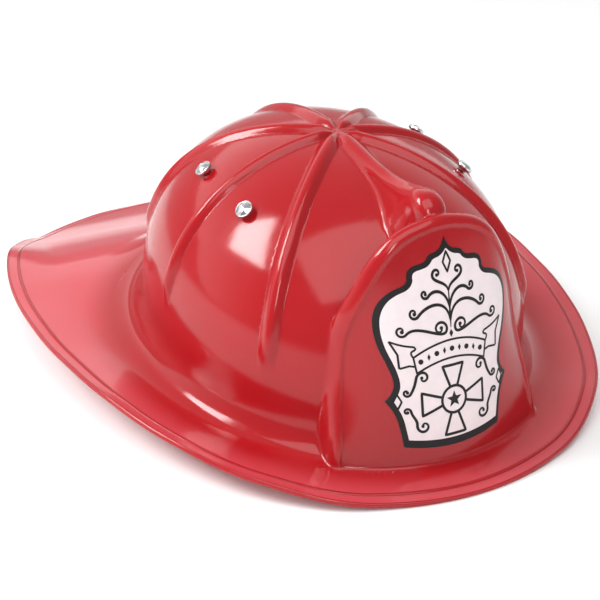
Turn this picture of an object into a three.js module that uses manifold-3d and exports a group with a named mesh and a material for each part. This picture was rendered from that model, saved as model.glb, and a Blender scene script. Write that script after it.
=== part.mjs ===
// Costume-grade firefighter helmet: a one-piece glossy moulded shell with eight crown ribs,
// a standing front shield with its nose knob, a wide drooping rear brim, a badge on the shield,
// four riveted suspension anchors, a crossed-strap crown cradle and a sliding headband.
//
// Frame: millimetres, +Z up, the helmet faces -Y, X = 0 is its plane of symmetry. "Left" is -X,
// as seen by someone standing in front of it. Z = 0 is the table, and the origin is under the
// middle of the helmet's length. Everything is laid out in the dome's own frame (Z = 0 near the
// dome/brim crease), then tipped nose-down and lifted, because the long rear brim props it up.
import * as THREE from 'three';
import { mergeVertices } from 'three/addons/utils/BufferGeometryUtils.js';
import Module from 'manifold-3d';

// ---------------------------------------------------------------- driving dimensions (mm)
const WALL = 2.2;                  // moulded wall
const GAP = 0.3;                   // clearance between fitted parts

// dome: an ellipse in plan, its height a power curve over the fraction of the plan radius
const DOME_HALF_WIDTH = 90;
const DOME_HALF_LENGTH = 113.46;
const DOME_HEIGHT = 107.16;
const DOME_RADIUS_POWER = 1.9592;
const DOME_HEIGHT_POWER = 2.8836;

// crown ribs
const RIB_COUNT = 8;
const RIB_PITCH_DEG = 360 / RIB_COUNT;
const RIB_HEIGHT = 2.9;
const RIB_HALF_WIDTH = 4.9;
const RIB_TAPER = 0.385;           // half width per unit of radius, near the crown
const RIB_END = 0.988;             // where the ribs die out, as a fraction of the plan radius
const RIB_FADE = 0.03;             // length of that run-out, same unit

// concave foot of the dome
const FLARE_WIDTH = 10.2;
const FLARE_HEIGHT = 27;
const FLARE_BEND_OUT = 0.6;        // middle control point: outward of the flare's top
const FLARE_BEND_Z = 3.2;          // and its height
const CREASE_Z = 0.7;

// brim: the rear half of its plan is a superellipse
const FLANGE = 6;                  // trimmed flange round the edge
const FLANGE_STEP = 0.55;
const BRIM_HALF_WIDTH = 138.3;
const BRIM_WIDEST_Y = 56.8;
const BRIM_REAR_LENGTH = 170.5;
const BRIM_POWER = 2.1;
const BRIM_FRONT_CENTRE_Y = 49.4;  // pole of the front half's polar outline

// pose at rest
const TIP_DEG = 5.35;              // nose-down tip
const LIFT = 16.55;                // dome frame above the table at the origin
const SHIFT_Y = -41.842;           // brings the middle of the overall length over the origin

// anchor rivets
const RIVET_FRACTION = 0.667;      // fraction of the plan radius
const RIVET_FRONT_DEG = 68.6;      // angle from straight ahead
const RIVET_HEAD_R = 4.3;
const RIVET_SHANK_R = 1.6;
const RIVET_HOLE_R = RIVET_SHANK_R + GAP;

// layers inside each rivet, measured inwards from the outer skin
const TAB_DEPTH = WALL + 0.65;     // hanger tab
const TAB_T = 1.0;
const CROWN_DEPTH = TAB_DEPTH + TAB_T + GAP;
const CROWN_T = 1.0;               // crown strap
const WASHER_DEPTH = CROWN_DEPTH + CROWN_T + GAP;
const WASHER_T = 0.9;
const WASHER_R = 4.6;

// crown cradle
const CROWN_STRAP_WIDTH = 14;
const CROWN_STRAP_Z = { a: 87.2, b: 88.9 };   // strap centres where they cross

// headband
const BAND_HALF_WIDTH = 77;        // widest, outer face
const BAND_T = 1.2;
const BAND_Z = 6;                  // lower edge
const BAND_H = 22;
const BAND_FRONT = -99;            // outermost front
const BAND_REAR = 94;              // outermost rear of the sliding nape band at rest
const BAND_WIDEST_Y = -20;
const REAR_ARM_X = 67;             // outer face of the sliding arms
const ARM_GAP = 0.5;               // running gap between the two bands
const ARM_X = REAR_ARM_X + ARM_GAP + BAND_T;  // outer face of the fixed band's straight arms
const ARM_START_Y = 24;
const ARM_END_Y = 50;
const REAR_ARC_Y = 55;             // where the nape arc meets the sliding arms
const REAR_TIP_Y = 21;
const SLIDE = 6;                   // size adjustment either way
const SLOT_Z = BAND_Z + BAND_H / 2;
const STUD_Y = 33;
const FOOT_Y = { front: -34, rear: 12 };      // hanger feet along the fixed band
const FOOT_Z = SLOT_Z + 4;
const FOOT_HOLE_R = 1.5;

const HANGER_WIDTH = 11.5;

// ---------------------------------------------------------------- maths helpers
const DEG = Math.PI / 180;
const UP = new THREE.Vector3(0, 0, 1);
const SIDES = [['left', -1], ['right', 1]];

const vec = (x, y, z) => new THREE.Vector3(x, y, z);
const clamp = (value, low, high) => Math.min(high, Math.max(low, value));
const lerp = (from, to, t) => from + (to - from) * t;

function smooth(low, high, value) {
  const t = clamp((value - low) / (high - low), 0, 1);
  return t * t * (3 - 2 * t);
}

// monotone cubic through [input, output] points, held constant beyond both ends
function lookup(points) {
  const last = points.length - 1;
  const xs = points.map(point => point[0]);
  const ys = points.map(point => point[1]);
  const slopes = [];
  for (let i = 0; i < last; i++) slopes.push((ys[i + 1] - ys[i]) / (xs[i + 1] - xs[i]));
  const tangents = [slopes[0]];
  for (let i = 1; i < last; i++) {
    const before = slopes[i - 1];
    const after = slopes[i];
    tangents.push(before * after <= 0 ? 0 : 2 * before * after / (before + after));
  }
  tangents.push(slopes[last - 1]);
  return input => {
    const x = clamp(input, xs[0], xs[last]);
    let i = 0;
    while (i < last - 1 && x > xs[i + 1]) i++;
    const span = xs[i + 1] - xs[i];
    const t = (x - xs[i]) / span;
    const t2 = t * t;
    const t3 = t2 * t;
    return (2 * t3 - 3 * t2 + 1) * ys[i] + (t3 - 2 * t2 + t) * span * tangents[i]
      + (-2 * t3 + 3 * t2) * ys[i + 1] + (t3 - t2) * span * tangents[i + 1];
  };
}

// ---------------------------------------------------------------- mesh helpers
const wasm = await Module();
wasm.setup();

// indexed copy with shared vertices and no collapsed triangles
function weld(geometry) {
  geometry.deleteAttribute('normal');
  geometry.deleteAttribute('uv');
  const welded = mergeVertices(geometry, 1e-4);
  const index = welded.index.array;
  const kept = [];
  for (let i = 0; i < index.length; i += 3) {
    const [a, b, c] = index.slice(i, i + 3);
    if (a !== b && b !== c && a !== c) kept.push(a, b, c);
  }
  welded.setIndex(kept);
  return welded;
}

function toSolid(geometry) {
  const welded = weld(geometry);
  return new wasm.Manifold(new wasm.Mesh({
    numProp: 3,
    vertProperties: Float32Array.from(welded.getAttribute('position').array),
    triVerts: Uint32Array.from(welded.index.array),
  }));
}

function toGeometry(solid) {
  const mesh = solid.getMesh();
  const geometry = new THREE.BufferGeometry();
  const positions = Float32Array.from(mesh.vertProperties);
  geometry.setAttribute('position', new THREE.BufferAttribute(positions, 3));
  geometry.setIndex(new THREE.BufferAttribute(Uint32Array.from(mesh.triVerts), 1));
  geometry.computeVertexNormals();
  return geometry;
}

// turn a closed mesh to face outwards, judged by its signed volume
function orient(geometry) {
  const position = geometry.getAttribute('position');
  const index = geometry.index.array;
  const corners = [vec(), vec(), vec()];
  let volume = 0;
  for (let i = 0; i < index.length; i += 3) {
    corners.forEach((corner, k) => corner.fromBufferAttribute(position, index[i + k]));
    volume += corners[0].dot(corners[1].clone().cross(corners[2]));
  }
  if (volume < 0) {
    for (let i = 0; i < index.length; i += 3) {
      [index[i + 1], index[i + 2]] = [index[i + 2], index[i + 1]];
    }
  }
  return geometry;
}

function closedMesh(vertices, triangles) {
  const geometry = new THREE.BufferGeometry();
  geometry.setAttribute('position', new THREE.Float32BufferAttribute(vertices.flat(), 3));
  geometry.setIndex(triangles.flat());
  return orient(geometry);
}

// closed loft through loops of equal length, each end closed by a fan round its mean point
function loft(loops) {
  const size = loops[0].length;
  const vertices = loops.flat();
  const triangles = [];
  for (let i = 0; i < loops.length - 1; i++) {
    for (let j = 0; j < size; j++) {
      const a = i * size + j;
      const b = i * size + (j + 1) % size;
      triangles.push([a, a + size, b], [b, a + size, b + size]);
    }
  }
  for (const end of [0, loops.length - 1]) {
    const centre = vertices.length;
    vertices.push(loops[end].reduce(
      (sum, point) => sum.map((value, k) => value + point[k] / size), [0, 0, 0]));
    for (let j = 0; j < size; j++) {
      const a = end * size + j;
      const b = end * size + (j + 1) % size;
      triangles.push(end ? [centre, b, a] : [centre, a, b]);
    }
  }
  return closedMesh(vertices, triangles);
}

// closed bar through a list of four-cornered sections, flat at both ends
function bar(sections) {
  const triangles = [];
  for (let i = 0; i < sections.length - 1; i++) {
    for (let j = 0; j < 4; j++) {
      const a = i * 4 + j;
      const b = i * 4 + (j + 1) % 4;
      triangles.push([a, b, a + 4], [b, b + 4, a + 4]);
    }
  }
  const end = (sections.length - 1) * 4;
  triangles.push([0, 2, 1], [0, 3, 2], [end, end + 1, end + 2], [end, end + 2, end + 3]);
  return closedMesh(sections.flat(), triangles);
}

// strap swept through stations { centre, across: width direction, normal: thickness direction }
function ribbon(stations, width, thickness) {
  return bar(stations.map(({ centre, across, normal }) =>
    [[-1, -1], [1, -1], [1, 1], [-1, 1]].map(([side, face]) => centre.clone()
      .addScaledVector(across, side * width / 2)
      .addScaledVector(normal, face * thickness / 2).toArray())));
}

// closed body turned about Y from [radius, height] points
function turned(profile, segments = 14) {
  const points = profile.map(([radius, height]) => new THREE.Vector2(radius, height));
  return orient(weld(new THREE.LatheGeometry(points, segments)));
}

// A site is { point, normal }. Stands geometry built along +Y on the site, along its normal.
function placeAt(geometry, { point, normal }) {
  const turn = new THREE.Quaternion().setFromUnitVectors(vec(0, 1, 0), normal);
  return geometry.applyQuaternion(turn).translate(point.x, point.y, point.z);
}

// round hole through a site, reaching so far inwards and outwards of it
function drill(solid, site, radius, inward, outward) {
  const cutter = new THREE.CylinderGeometry(radius, radius, inward + outward, 14);
  cutter.translate(0, (outward - inward) / 2, 0);
  return solid.subtract(toSolid(placeAt(cutter, site)));
}

// one value for each corner of the suspension, keyed front_left and so on
function atCorners(build) {
  const corners = {};
  for (const end of ['front', 'rear']) {
    for (const [side, sign] of SIDES) corners[`${end}_${side}`] = build(end, sign);
  }
  return corners;
}

// ---------------------------------------------------------------- dome
// Plan angles run from straight ahead (-Y) towards +X.
const planRadius = angle =>
  1 / Math.hypot(Math.sin(angle) / DOME_HALF_WIDTH, Math.cos(angle) / DOME_HALF_LENGTH);
const polar = (angle, radius, z) =>
  vec(radius * Math.sin(angle), -radius * Math.cos(angle), z);
const domeZ = fraction => DOME_HEIGHT
  * Math.pow(Math.max(0, 1 - Math.pow(fraction, DOME_RADIUS_POWER)), 1 / DOME_HEIGHT_POWER);
const domePoint = (angle, fraction) =>
  polar(angle, planRadius(angle) * fraction, domeZ(fraction));

function domeNormal(angle, fraction) {
  const step = 1e-3;
  const at = clamp(fraction, 0.02, 0.995);
  const around = domePoint(angle + step, at).sub(domePoint(angle - step, at));
  const outward = domePoint(angle, at + step).sub(domePoint(angle, at - step));
  const normal = outward.cross(around).normalize();
  return normal.z < 0 ? normal.negate() : normal;
}

const domeSite = (angle, fraction) =>
  ({ point: domePoint(angle, fraction), normal: domeNormal(angle, fraction) });

// angle from a rib's centre line to its edge; radius is nominal, 100 at the dome's rim
const ribHalfWidth = radius => Math.min(RIB_HALF_WIDTH, RIB_TAPER * radius);
// relative rib height across its width: offset -1 and 1 are the rib's edges
const ribProfile = offset =>
  Math.pow(Math.max(0, 1 - Math.pow(Math.abs(offset), 2.2)), 1.2);
// plan fraction where the dome reaches the top of the flare
const FLARE_FRACTION = Math.pow(
  1 - Math.pow(FLARE_HEIGHT / DOME_HEIGHT, DOME_HEIGHT_POWER), 1 / DOME_RADIUS_POWER);

// ---------------------------------------------------------------- brim
// [Y, Z of the brim's edge]
const edgeZ = lookup([
  [-147, -0.9], [-136.5, 0.2], [-106.7, 5.2], [-65.7, 6.9], [-25.2, 7.3], [12.9, 6.3],
  [49.4, 5.2], [77.7, 3.6], [101.4, 2.4], [123, 1.1], [136.4, -0.5], [145, -3.1],
  [160.4, -9.6], [170.7, -14.2], [178.7, -18.2], [185.3, -22.1], [190.9, -25.3],
  [200, -28.2], [207.5, -30.3], [215.5, -32.4], [221.7, -33.9], [227.3, -36],
]);
// [Y, Z of the sheet between the side valleys]
const sheetZ = lookup([
  [-147, 0.7], [60, 0.7], [90, 0.2], [110, -1.2], [125, -3.5], [140, -7.5], [160, -14],
  [175, -19.6], [191, -25.3], [200, -28.2], [207.5, -30.3], [215.5, -32.4],
  [221.7, -33.9], [227.3, -36],
]);
// [Y, half width at which the side strip starts to rise from the sheet]
const valleyX = lookup([
  [-30, 101], [0, 106.5], [28, 110], [61, 109], [104, 105], [140, 98.5], [175, 92],
  [191, 89], [228, 80],
]);
// [degrees from straight ahead, radius about the front centre] of the front half outline
const FRONT_SIDE_RADIUS = 138.8;
const frontRadius = lookup([
  [-15, 192.5], [0, 196.3], [15, 192.5], [30, 180.3], [45, 162.8], [60, 149.1],
  [75, 141.2], [90, FRONT_SIDE_RADIUS], [105, 141.0],
]);

// +X half of the plan outline: run 0 is front centre, 1 the widest point, 2 rear centre
function outlinePoint(run) {
  if (run <= 1) {
    const degrees = run * 90;
    const radius = frontRadius(degrees);
    const x = radius * Math.sin(degrees * DEG);
    const y = BRIM_FRONT_CENTRE_Y - radius * Math.cos(degrees * DEG);
    return [
      x * lerp(1, BRIM_HALF_WIDTH / FRONT_SIDE_RADIUS, run),
      y + (BRIM_WIDEST_Y - BRIM_FRONT_CENTRE_Y) * smooth(0.3, 1, run),
    ];
  }
  const turn = (run - 1) * Math.PI / 2;
  return [
    BRIM_HALF_WIDTH * Math.pow(Math.max(0, Math.cos(turn)), 2 / BRIM_POWER),
    BRIM_WIDEST_Y + BRIM_REAR_LENGTH * Math.pow(Math.max(0, Math.sin(turn)), 2 / BRIM_POWER),
  ];
}

const OUTLINE = [];                // { x, y, angle } along the +X half
for (let i = 0; i <= 400; i++) {
  const [x, y] = outlinePoint(i / 200);
  OUTLINE.push({ x, y, angle: Math.atan2(x, -y) });
}

// outline point in a direction from the dome's centre
function edgeAt(direction) {
  const angle = Math.atan2(Math.sin(direction), Math.cos(direction));
  const size = Math.abs(angle);
  let i = 0;
  while (i < OUTLINE.length - 2 && OUTLINE[i + 1].angle < size) i++;
  const from = OUTLINE[i];
  const to = OUTLINE[i + 1];
  const t = clamp((size - from.angle) / (to.angle - from.angle + 1e-12), 0, 1);
  return { x: Math.sign(angle || 1) * lerp(from.x, to.x, t), y: lerp(from.y, to.y, t) };
}

// half width of the brim at y; ahead of the widest point it comes from the ray's edge point
function brimHalfWidth(y, edge, valley) {
  if (y < BRIM_WIDEST_Y) return Math.max(Math.abs(edge.x), valley + 8);
  const along = (y - BRIM_WIDEST_Y) / BRIM_REAR_LENGTH;
  return BRIM_HALF_WIDTH * Math.pow(Math.max(0, 1 - Math.pow(along, BRIM_POWER)), 1 / BRIM_POWER);
}

// height of the brim; t runs from 0 at the crease to 1 at the edge point of the same ray
function brimZ(x, y, t, edge) {
  const front = lerp(CREASE_Z, edgeZ(edge.y), Math.pow(t, 1.6));
  const valley = valleyX(y);
  const halfWidth = brimHalfWidth(y, edge, valley);
  const sheet = sheetZ(y);
  let strip = 0;
  if (halfWidth > valley + 0.5) {
    strip = (edgeZ(y) - sheet) * clamp((Math.abs(x) - valley) / (halfWidth - valley), 0, 1);
  }
  const side = lerp(CREASE_Z, sheet, smooth(0, 0.25, t)) + strip;
  return lerp(front, side, smooth(-45, 15, y));
}

// ---------------------------------------------------------------- outer skin
// rings over the dome, as fractions of the plan radius
const DOME_RINGS = [0.07, 0.14, 0.22, 0.31, 0.41, 0.51, 0.61, 0.7, 0.78, 0.85, 0.905, 0.945, 0.972];
const FLARE_RINGS = [0, 0.3, 0.6, 0.82, 1];
const RIB_OFFSETS = [-1, -0.55, 0, 0.55, 1];   // columns across a rib
const PANEL_FRACTIONS = [0.25, 0.5, 0.75];     // columns between two ribs
const EDGE_STEP = RIB_PITCH_DEG / 8 * DEG;     // even column spacing at the brim's edge

// Rings across the brim: four by fraction of the width, held clear of the flange, then three
// by distance in from the edge. fan: 0 keeps the bunched rib line, 1 is the even spacing.
const BRIM_RINGS = [
  ...[0.24, 0.48, 0.7, 0.86].map(fraction => ({
    fan: smooth(0, 0.9, fraction),
    along: width => Math.min(fraction, 1 - (FLANGE + 2) / width * (fraction / 0.9)),
    drop: 0,
  })),
  ...[FLANGE + 0.5, FLANGE - 0.6, 0].map(inset => ({
    fan: 1,
    along: width => 1 - inset / width,
    drop: inset < FLANGE ? FLANGE_STEP : 0,
  })),
];

// quadratic curve from the dome down to the crease
function flareColumn(angle) {
  const top = planRadius(angle) * FLARE_FRACTION;
  const crease = planRadius(angle) + FLARE_WIDTH;
  const bend = top + FLARE_BEND_OUT;
  return FLARE_RINGS.map(t => {
    const weights = [(1 - t) * (1 - t), 2 * t * (1 - t), t * t];
    const radius = weights[0] * top + weights[1] * bend + weights[2] * crease;
    const z = weights[0] * FLARE_HEIGHT + weights[1] * FLARE_BEND_Z + weights[2] * CREASE_Z;
    const radiusRate = 2 * (1 - t) * (bend - top) + 2 * t * (crease - bend);
    const zRate = 2 * (1 - t) * (FLARE_BEND_Z - FLARE_HEIGHT) + 2 * t * (CREASE_Z - FLARE_BEND_Z);
    return { point: polar(angle, radius, z), normal: polar(angle, -zRate, radiusRate).normalize() };
  });
}

function brimColumn(footAngle, edgeAngle) {
  return BRIM_RINGS.map(({ fan, along, drop }) => {
    const angle = lerp(footAngle, edgeAngle, fan);
    const crease = polar(angle, planRadius(angle) + FLARE_WIDTH, 0);
    const edge = edgeAt(angle);
    const t = along(Math.hypot(edge.x - crease.x, edge.y - crease.y));
    const x = lerp(crease.x, edge.x, t);
    const y = lerp(crease.y, edge.y, t);
    return { point: vec(x, y, brimZ(x, y, t, edge) - drop), normal: UP };
  });
}

// one column of sites from crown to brim edge; angleAt gives its angle at a nominal radius
function skinColumn(angleAt, edgeAngle, ribHeight) {
  const dome = DOME_RINGS.map(fraction => {
    const fade = 1 - smooth(RIB_END - RIB_FADE, RIB_END, fraction);
    const height = ribHeight * fade * smooth(0, 0.1, fraction);
    const site = domeSite(angleAt(fraction * 100), fraction);
    site.point.addScaledVector(site.normal, height);
    return site;
  });
  const footAngle = angleAt(100);
  return [...dome, ...flareColumn(footAngle), ...brimColumn(footAngle, edgeAngle)];
}

function ribColumn(ribAngle, offset, edgeSteps) {
  const angleAt = radius => ribAngle + Math.asin(offset * ribHalfWidth(radius) / radius);
  return skinColumn(angleAt, ribAngle + EDGE_STEP * edgeSteps, RIB_HEIGHT * ribProfile(offset));
}

function panelColumn(ribAngle, t) {
  const angleAt = radius => {
    const half = Math.asin(ribHalfWidth(radius) / radius);
    return lerp(ribAngle + half, ribAngle + RIB_PITCH_DEG * DEG - half, t);
  };
  return skinColumn(angleAt, ribAngle + EDGE_STEP * (2 + t * 4), 0);
}

function skinColumns() {
  const columns = [];
  for (let k = 0; k < RIB_COUNT; k++) {
    const ribAngle = k * RIB_PITCH_DEG * DEG;
    RIB_OFFSETS.forEach((offset, i) => columns.push(ribColumn(ribAngle, offset, i - 2)));
    for (const t of PANEL_FRACTIONS) columns.push(panelColumn(ribAngle, t));
  }
  return columns;
}

// Solid under the skin, closed by a wall and a floor far below. depth moves it in from the
// outer skin; spread runs the last ring out past the brim so that it cuts the edge clean.
function underSkin(depth, spread, floor) {
  const columns = skinColumns();
  const count = columns.length;
  const rows = columns[0].length + 2;
  const vertices = [];
  const triangles = [];
  for (const column of columns) {
    for (const { point, normal } of column) {
      vertices.push(point.clone().addScaledVector(normal, -depth).toArray());
    }
    const edge = column[column.length - 1].point;
    const radius = Math.hypot(edge.x, edge.y);
    const scale = (radius + spread) / radius;
    const rim = vertices[vertices.length - 1];
    rim[0] *= scale;
    rim[1] *= scale;
    vertices.push([edge.x * scale, edge.y * scale, floor], [edge.x * 0.5, edge.y * 0.5, floor]);
  }
  const at = (i, j) => (i % count) * rows + j;
  for (let i = 0; i < count; i++) {
    for (let j = 0; j < rows - 1; j++) {
      const a = at(i, j);
      const b = at(i + 1, j);
      triangles.push([a, a + 1, b], [b, a + 1, b + 1]);
    }
  }
  const top = vertices.length;
  vertices.push([0, 0, DOME_HEIGHT + RIB_HEIGHT * 0.35 - depth], [0, 0, floor]);
  for (let i = 0; i < count; i++) {
    triangles.push([top, at(i, 0), at(i + 1, 0)]);
    triangles.push([top + 1, at(i + 1, rows - 1), at(i, rows - 1)]);
  }
  return closedMesh(vertices, triangles);
}

// ---------------------------------------------------------------- standing front shield
const SHIELD_HALF_WIDTH = 54.9;    // at the foot
const SHIELD_DEPTH = 5.6;          // front face to back wall
const SHIELD_ROWS = 7;
// [distance from centre, height of the shield's top]
const shieldTop = lookup([
  [0, 107.9], [9.4, 106.7], [18.9, 103.6], [26.6, 98.2], [33.4, 89.5], [36.9, 83.2],
  [39.2, 78], [41.7, 72.4], [43.9, 67], [45.7, 61], [47.1, 55.5], [48.7, 45], [51.8, 25],
  [53.9, 8], [SHIELD_HALF_WIDTH, -1],
]);
// columns across the shield, as fractions of its half width
const SHIELD_COLUMNS = [
  -1, -0.985, -0.965, -0.93, -0.86, -0.76, -0.64, -0.5, -0.33, -0.175, 0,
  0.175, 0.33, 0.5, 0.64, 0.76, 0.86, 0.93, 0.965, 0.985, 1,
];

// Y of the shield's front face: leans back, curves across, and rolls back at sides and top
function faceY(x, z) {
  const lean = 0.26 * z;
  const curve = 0.00612 * x * x;
  const sideRoll = 0.0165 * Math.pow(Math.max(0, Math.abs(x) - 22.7), 2) * smooth(0, 60, z);
  const topRoll = 0.0015 * Math.pow(Math.max(0, z - 56.8), 2);
  return -126.95 + lean + curve + sideRoll + topRoll;
}

function shieldBody(inset, footZ) {
  return loft(SHIELD_COLUMNS.map(fraction => {
    const x = fraction * (SHIELD_HALF_WIDTH - inset);
    const skinX = fraction * SHIELD_HALF_WIDTH;
    const skinTop = shieldTop(Math.abs(skinX));
    const topZ = skinTop - inset;
    const loop = [];
    for (let i = 0; i <= SHIELD_ROWS; i++) {
      const z = lerp(footZ, topZ, Math.pow(i / SHIELD_ROWS, 0.9));
      loop.push([x, faceY(skinX, Math.max(z, -1)) + inset * 1.12, z]);
    }
    const wallY = faceY(skinX, Math.max(skinTop, 45)) + SHIELD_DEPTH - inset;
    const backY = Math.max(wallY, loop[SHIELD_ROWS][1] + 1.5);
    loop.push([x, backY, topZ], [x, backY, footZ]);
    return loop;
  }));
}

// ---------------------------------------------------------------- front fin with its nose knob
const FIN_FRONT_Y = -91.5;
const FIN_STATIONS_Y = [
  FIN_FRONT_Y, -90.6, -88.8, -86.2, -83.3, -79, -71, -64, -56, -47, -37, -26, -15, -6,
];
// [Y, height of the crest]
const finCrest = lookup([
  [-94, 101], [-91.5, 104.8], [-88.5, 109.2], [-85, 112.2], [-81.5, 113.6], [-79, 113.8],
  [-72, 112.6], [-64.6, 111], [-47, 108.9], [-33, 108.7], [-4, 109.2], [0, 109.0],
]);
// [Y, half width near the crest]
const finTopHalf = lookup([
  [-94, 1], [-91.5, 2.8], [-88.5, 4.6], [-85, 5.6], [-80, 6], [-70, 5.2], [-55, 4.4],
  [-30, 4.2], [-8, 3.4], [0, 2.2],
]);
// [Y, half width at the base]
const finBaseHalf = lookup([
  [-94, 3], [-91.5, 5.6], [-88.5, 7.6], [-81, 12.6], [-70, 12.3], [-61, 9.8], [-50, 7],
  [-37, 4.8], [-8, 3.8], [0, 2.6],
]);

function finBody(inset) {
  return loft(FIN_STATIONS_Y.map(stationY => {
    const y = Math.max(stationY, FIN_FRONT_Y + inset);
    const crest = finCrest(stationY) - inset;
    const topHalf = finTopHalf(stationY) - inset;
    const baseHalf = finBaseHalf(stationY) - inset;
    const baseZ = domeZ(Math.abs(y) / DOME_HALF_LENGTH) - 4 - inset;   // buried in the dome
    const half = [
      [baseHalf, y, baseZ],
      [topHalf * 1.02, y, crest - 3.2],
      [topHalf * 0.8, y, crest - 1.1],
      [topHalf * 0.35, y, crest - 0.15],
    ];
    return [...half, ...half.map(([x, , z]) => [-x, y, z]).reverse()];
  }));
}

// ---------------------------------------------------------------- sites of the anchors
const RIVET_DEG = { front: RIVET_FRONT_DEG, rear: 180 - RIVET_FRONT_DEG };
const rivetSites = atCorners((end, sign) => domeSite(sign * RIVET_DEG[end] * DEG, RIVET_FRACTION));

// ---------------------------------------------------------------- shell
const rest = new THREE.Matrix4().makeTranslation(0, SHIFT_Y, LIFT)
  .multiply(new THREE.Matrix4().makeRotationX(TIP_DEG * DEG));

function shellMass({ inset, spread, floor, shieldFoot }) {
  return toSolid(underSkin(inset, spread, floor))
    .add(toSolid(shieldBody(inset, shieldFoot)))
    .add(toSolid(finBody(inset)));
}

// everything below the table, in the dome's frame
function belowTable() {
  const box = new THREE.BoxGeometry(600, 700, 60).translate(0, 0, -30);
  return toSolid(box.applyMatrix4(rest.clone().invert()));
}

function shellGeometry() {
  const outer = shellMass({ inset: 0, spread: 0, floor: -80, shieldFoot: -20 });
  const inner = shellMass({ inset: WALL, spread: 8, floor: -90, shieldFoot: -30 });
  let shell = outer.subtract(inner);
  for (const site of Object.values(rivetSites)) shell = drill(shell, site, RIVET_HOLE_R, 8, 6);
  // trim the brim's underside flat on the table, then drop the slivers the cuts leave
  const pieces = shell.subtract(belowTable()).simplify(0.05).decompose();
  pieces.sort((a, b) => b.volume() - a.volume());
  return toGeometry(pieces[0]);
}

// ---------------------------------------------------------------- badge on the shield
// right half outline seen from the front, from the tip down: [half width, height]
const BADGE_TIP_Z = 100.3;
const BADGE_OUTLINE = [
  [2.6, 95.3], [8.6, 93.1], [10.2, 90.2], [17.5, 88.7], [19.6, 84.3], [20.8, 81.9],
  [27.5, 78.4], [32.0, 72.3], [33.9, 64.4], [33.2, 57.0], [30.2, 48.5], [27.2, 41.0],
  [27.6, 36.0], [31.4, 31.4], [28.4, 26.6], [26.0, 20.5], [24.5, 10.6],
];
const BADGE_COLUMNS = [-1, -0.75, -0.5, -0.25, 0, 0.25, 0.5, 0.75, 1];
const BADGE_FOOT_Z = 8.5;          // foot at the centre line
const BADGE_FOOT_BOW = 2.1;        // rise of the foot from there to its corners
const BADGE_SKINS = [-1.5, -0.95]; // front and back skins, from the shield's face along Y

function badgeGeometry() {
  const rows = BADGE_OUTLINE.length;
  const columns = BADGE_COLUMNS.length;
  const vertices = [];
  const triangles = [];
  for (const offset of BADGE_SKINS) {
    const put = (x, z) => vertices.push([x, faceY(x, z) + offset, z]);
    BADGE_OUTLINE.forEach(([halfWidth, z], row) => {
      for (const side of BADGE_COLUMNS) {
        const bowed = BADGE_FOOT_Z + BADGE_FOOT_BOW * side * side;
        put(side * halfWidth, row === rows - 1 ? bowed : z);
      }
    });
    put(0, BADGE_TIP_Z);
  }
  const perSkin = rows * columns + 1;
  const tip = perSkin - 1;
  for (const skin of [0, 1]) {
    const start = skin * perSkin;
    const face = (a, b, c) => triangles.push(
      (skin ? [a, c, b] : [a, b, c]).map(vertex => start + vertex));
    for (let i = 0; i < rows - 1; i++) {
      for (let j = 0; j < columns - 1; j++) {
        const a = i * columns + j;
        face(a, a + columns, a + 1);
        face(a + 1, a + columns, a + columns + 1);
      }
    }
    for (let j = 0; j < columns - 1; j++) face(tip, j, j + 1);
  }
  // side wall: tip, down the right, back along the foot, up the left
  const ring = [tip];
  for (let i = 0; i < rows; i++) ring.push(i * columns + columns - 1);
  for (let j = columns - 2; j >= 0; j--) ring.push((rows - 1) * columns + j);
  for (let i = rows - 2; i >= 0; i--) ring.push(i * columns);
  ring.forEach((a, i) => {
    const b = ring[(i + 1) % ring.length];
    triangles.push([a, b, a + perSkin], [b, b + perSkin, a + perSkin]);
  });
  return closedMesh(vertices, triangles);
}

// ---------------------------------------------------------------- rivets and washers
function rivetGeometry(site) {
  const tail = WASHER_DEPTH + WASHER_T + 0.2;
  return placeAt(turned([
    [0, 4.55], [1.5, 4.35], [2.9, 3.85], [3.55, 3.75], [4.1, 3.65], [RIVET_HEAD_R, 3.2],
    [RIVET_HEAD_R, 2.2], [3.9, 1.7], [2.5, 1.45], [2.4, GAP], [RIVET_SHANK_R, GAP],
    [RIVET_SHANK_R, -tail], [2.5, -tail], [2.4, -tail - 0.7], [1.2, -tail - 1.0],
    [0, -tail - 1.05],
  ]), site);
}

function washerGeometry(site) {
  const inner = WASHER_DEPTH + WASHER_T;
  return placeAt(turned([
    [RIVET_HOLE_R, -WASHER_DEPTH], [WASHER_R, -WASHER_DEPTH],
    [WASHER_R, -WASHER_DEPTH - WASHER_T * 0.7], [WASHER_R - 0.4, -inner],
    [RIVET_HOLE_R, -inner], [RIVET_HOLE_R, -WASHER_DEPTH],
  ]), site);
}

// ---------------------------------------------------------------- crown cradle
const CROWN_TAIL = 4.9;            // strap beyond each rivet
const CROWN_LEAD = 7;              // straight run from each rivet towards the crown
const CROWN_STEPS = 14;
const CROWN_EASE = 0.2;            // share of the arch over which each end twists into line

// one end of a strap at its rivet, heading: the strap's level direction
function strapEnd({ point, normal }, heading) {
  const centre = point.clone().addScaledVector(normal, -(CROWN_DEPTH + CROWN_T / 2));
  const tangent = heading.clone().addScaledVector(normal, -heading.dot(normal)).normalize();
  const across = vec().crossVectors(normal, tangent).normalize();
  const station = along =>
    ({ centre: centre.clone().addScaledVector(tangent, along), normal, across });
  return { normal, across, station };
}

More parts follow.
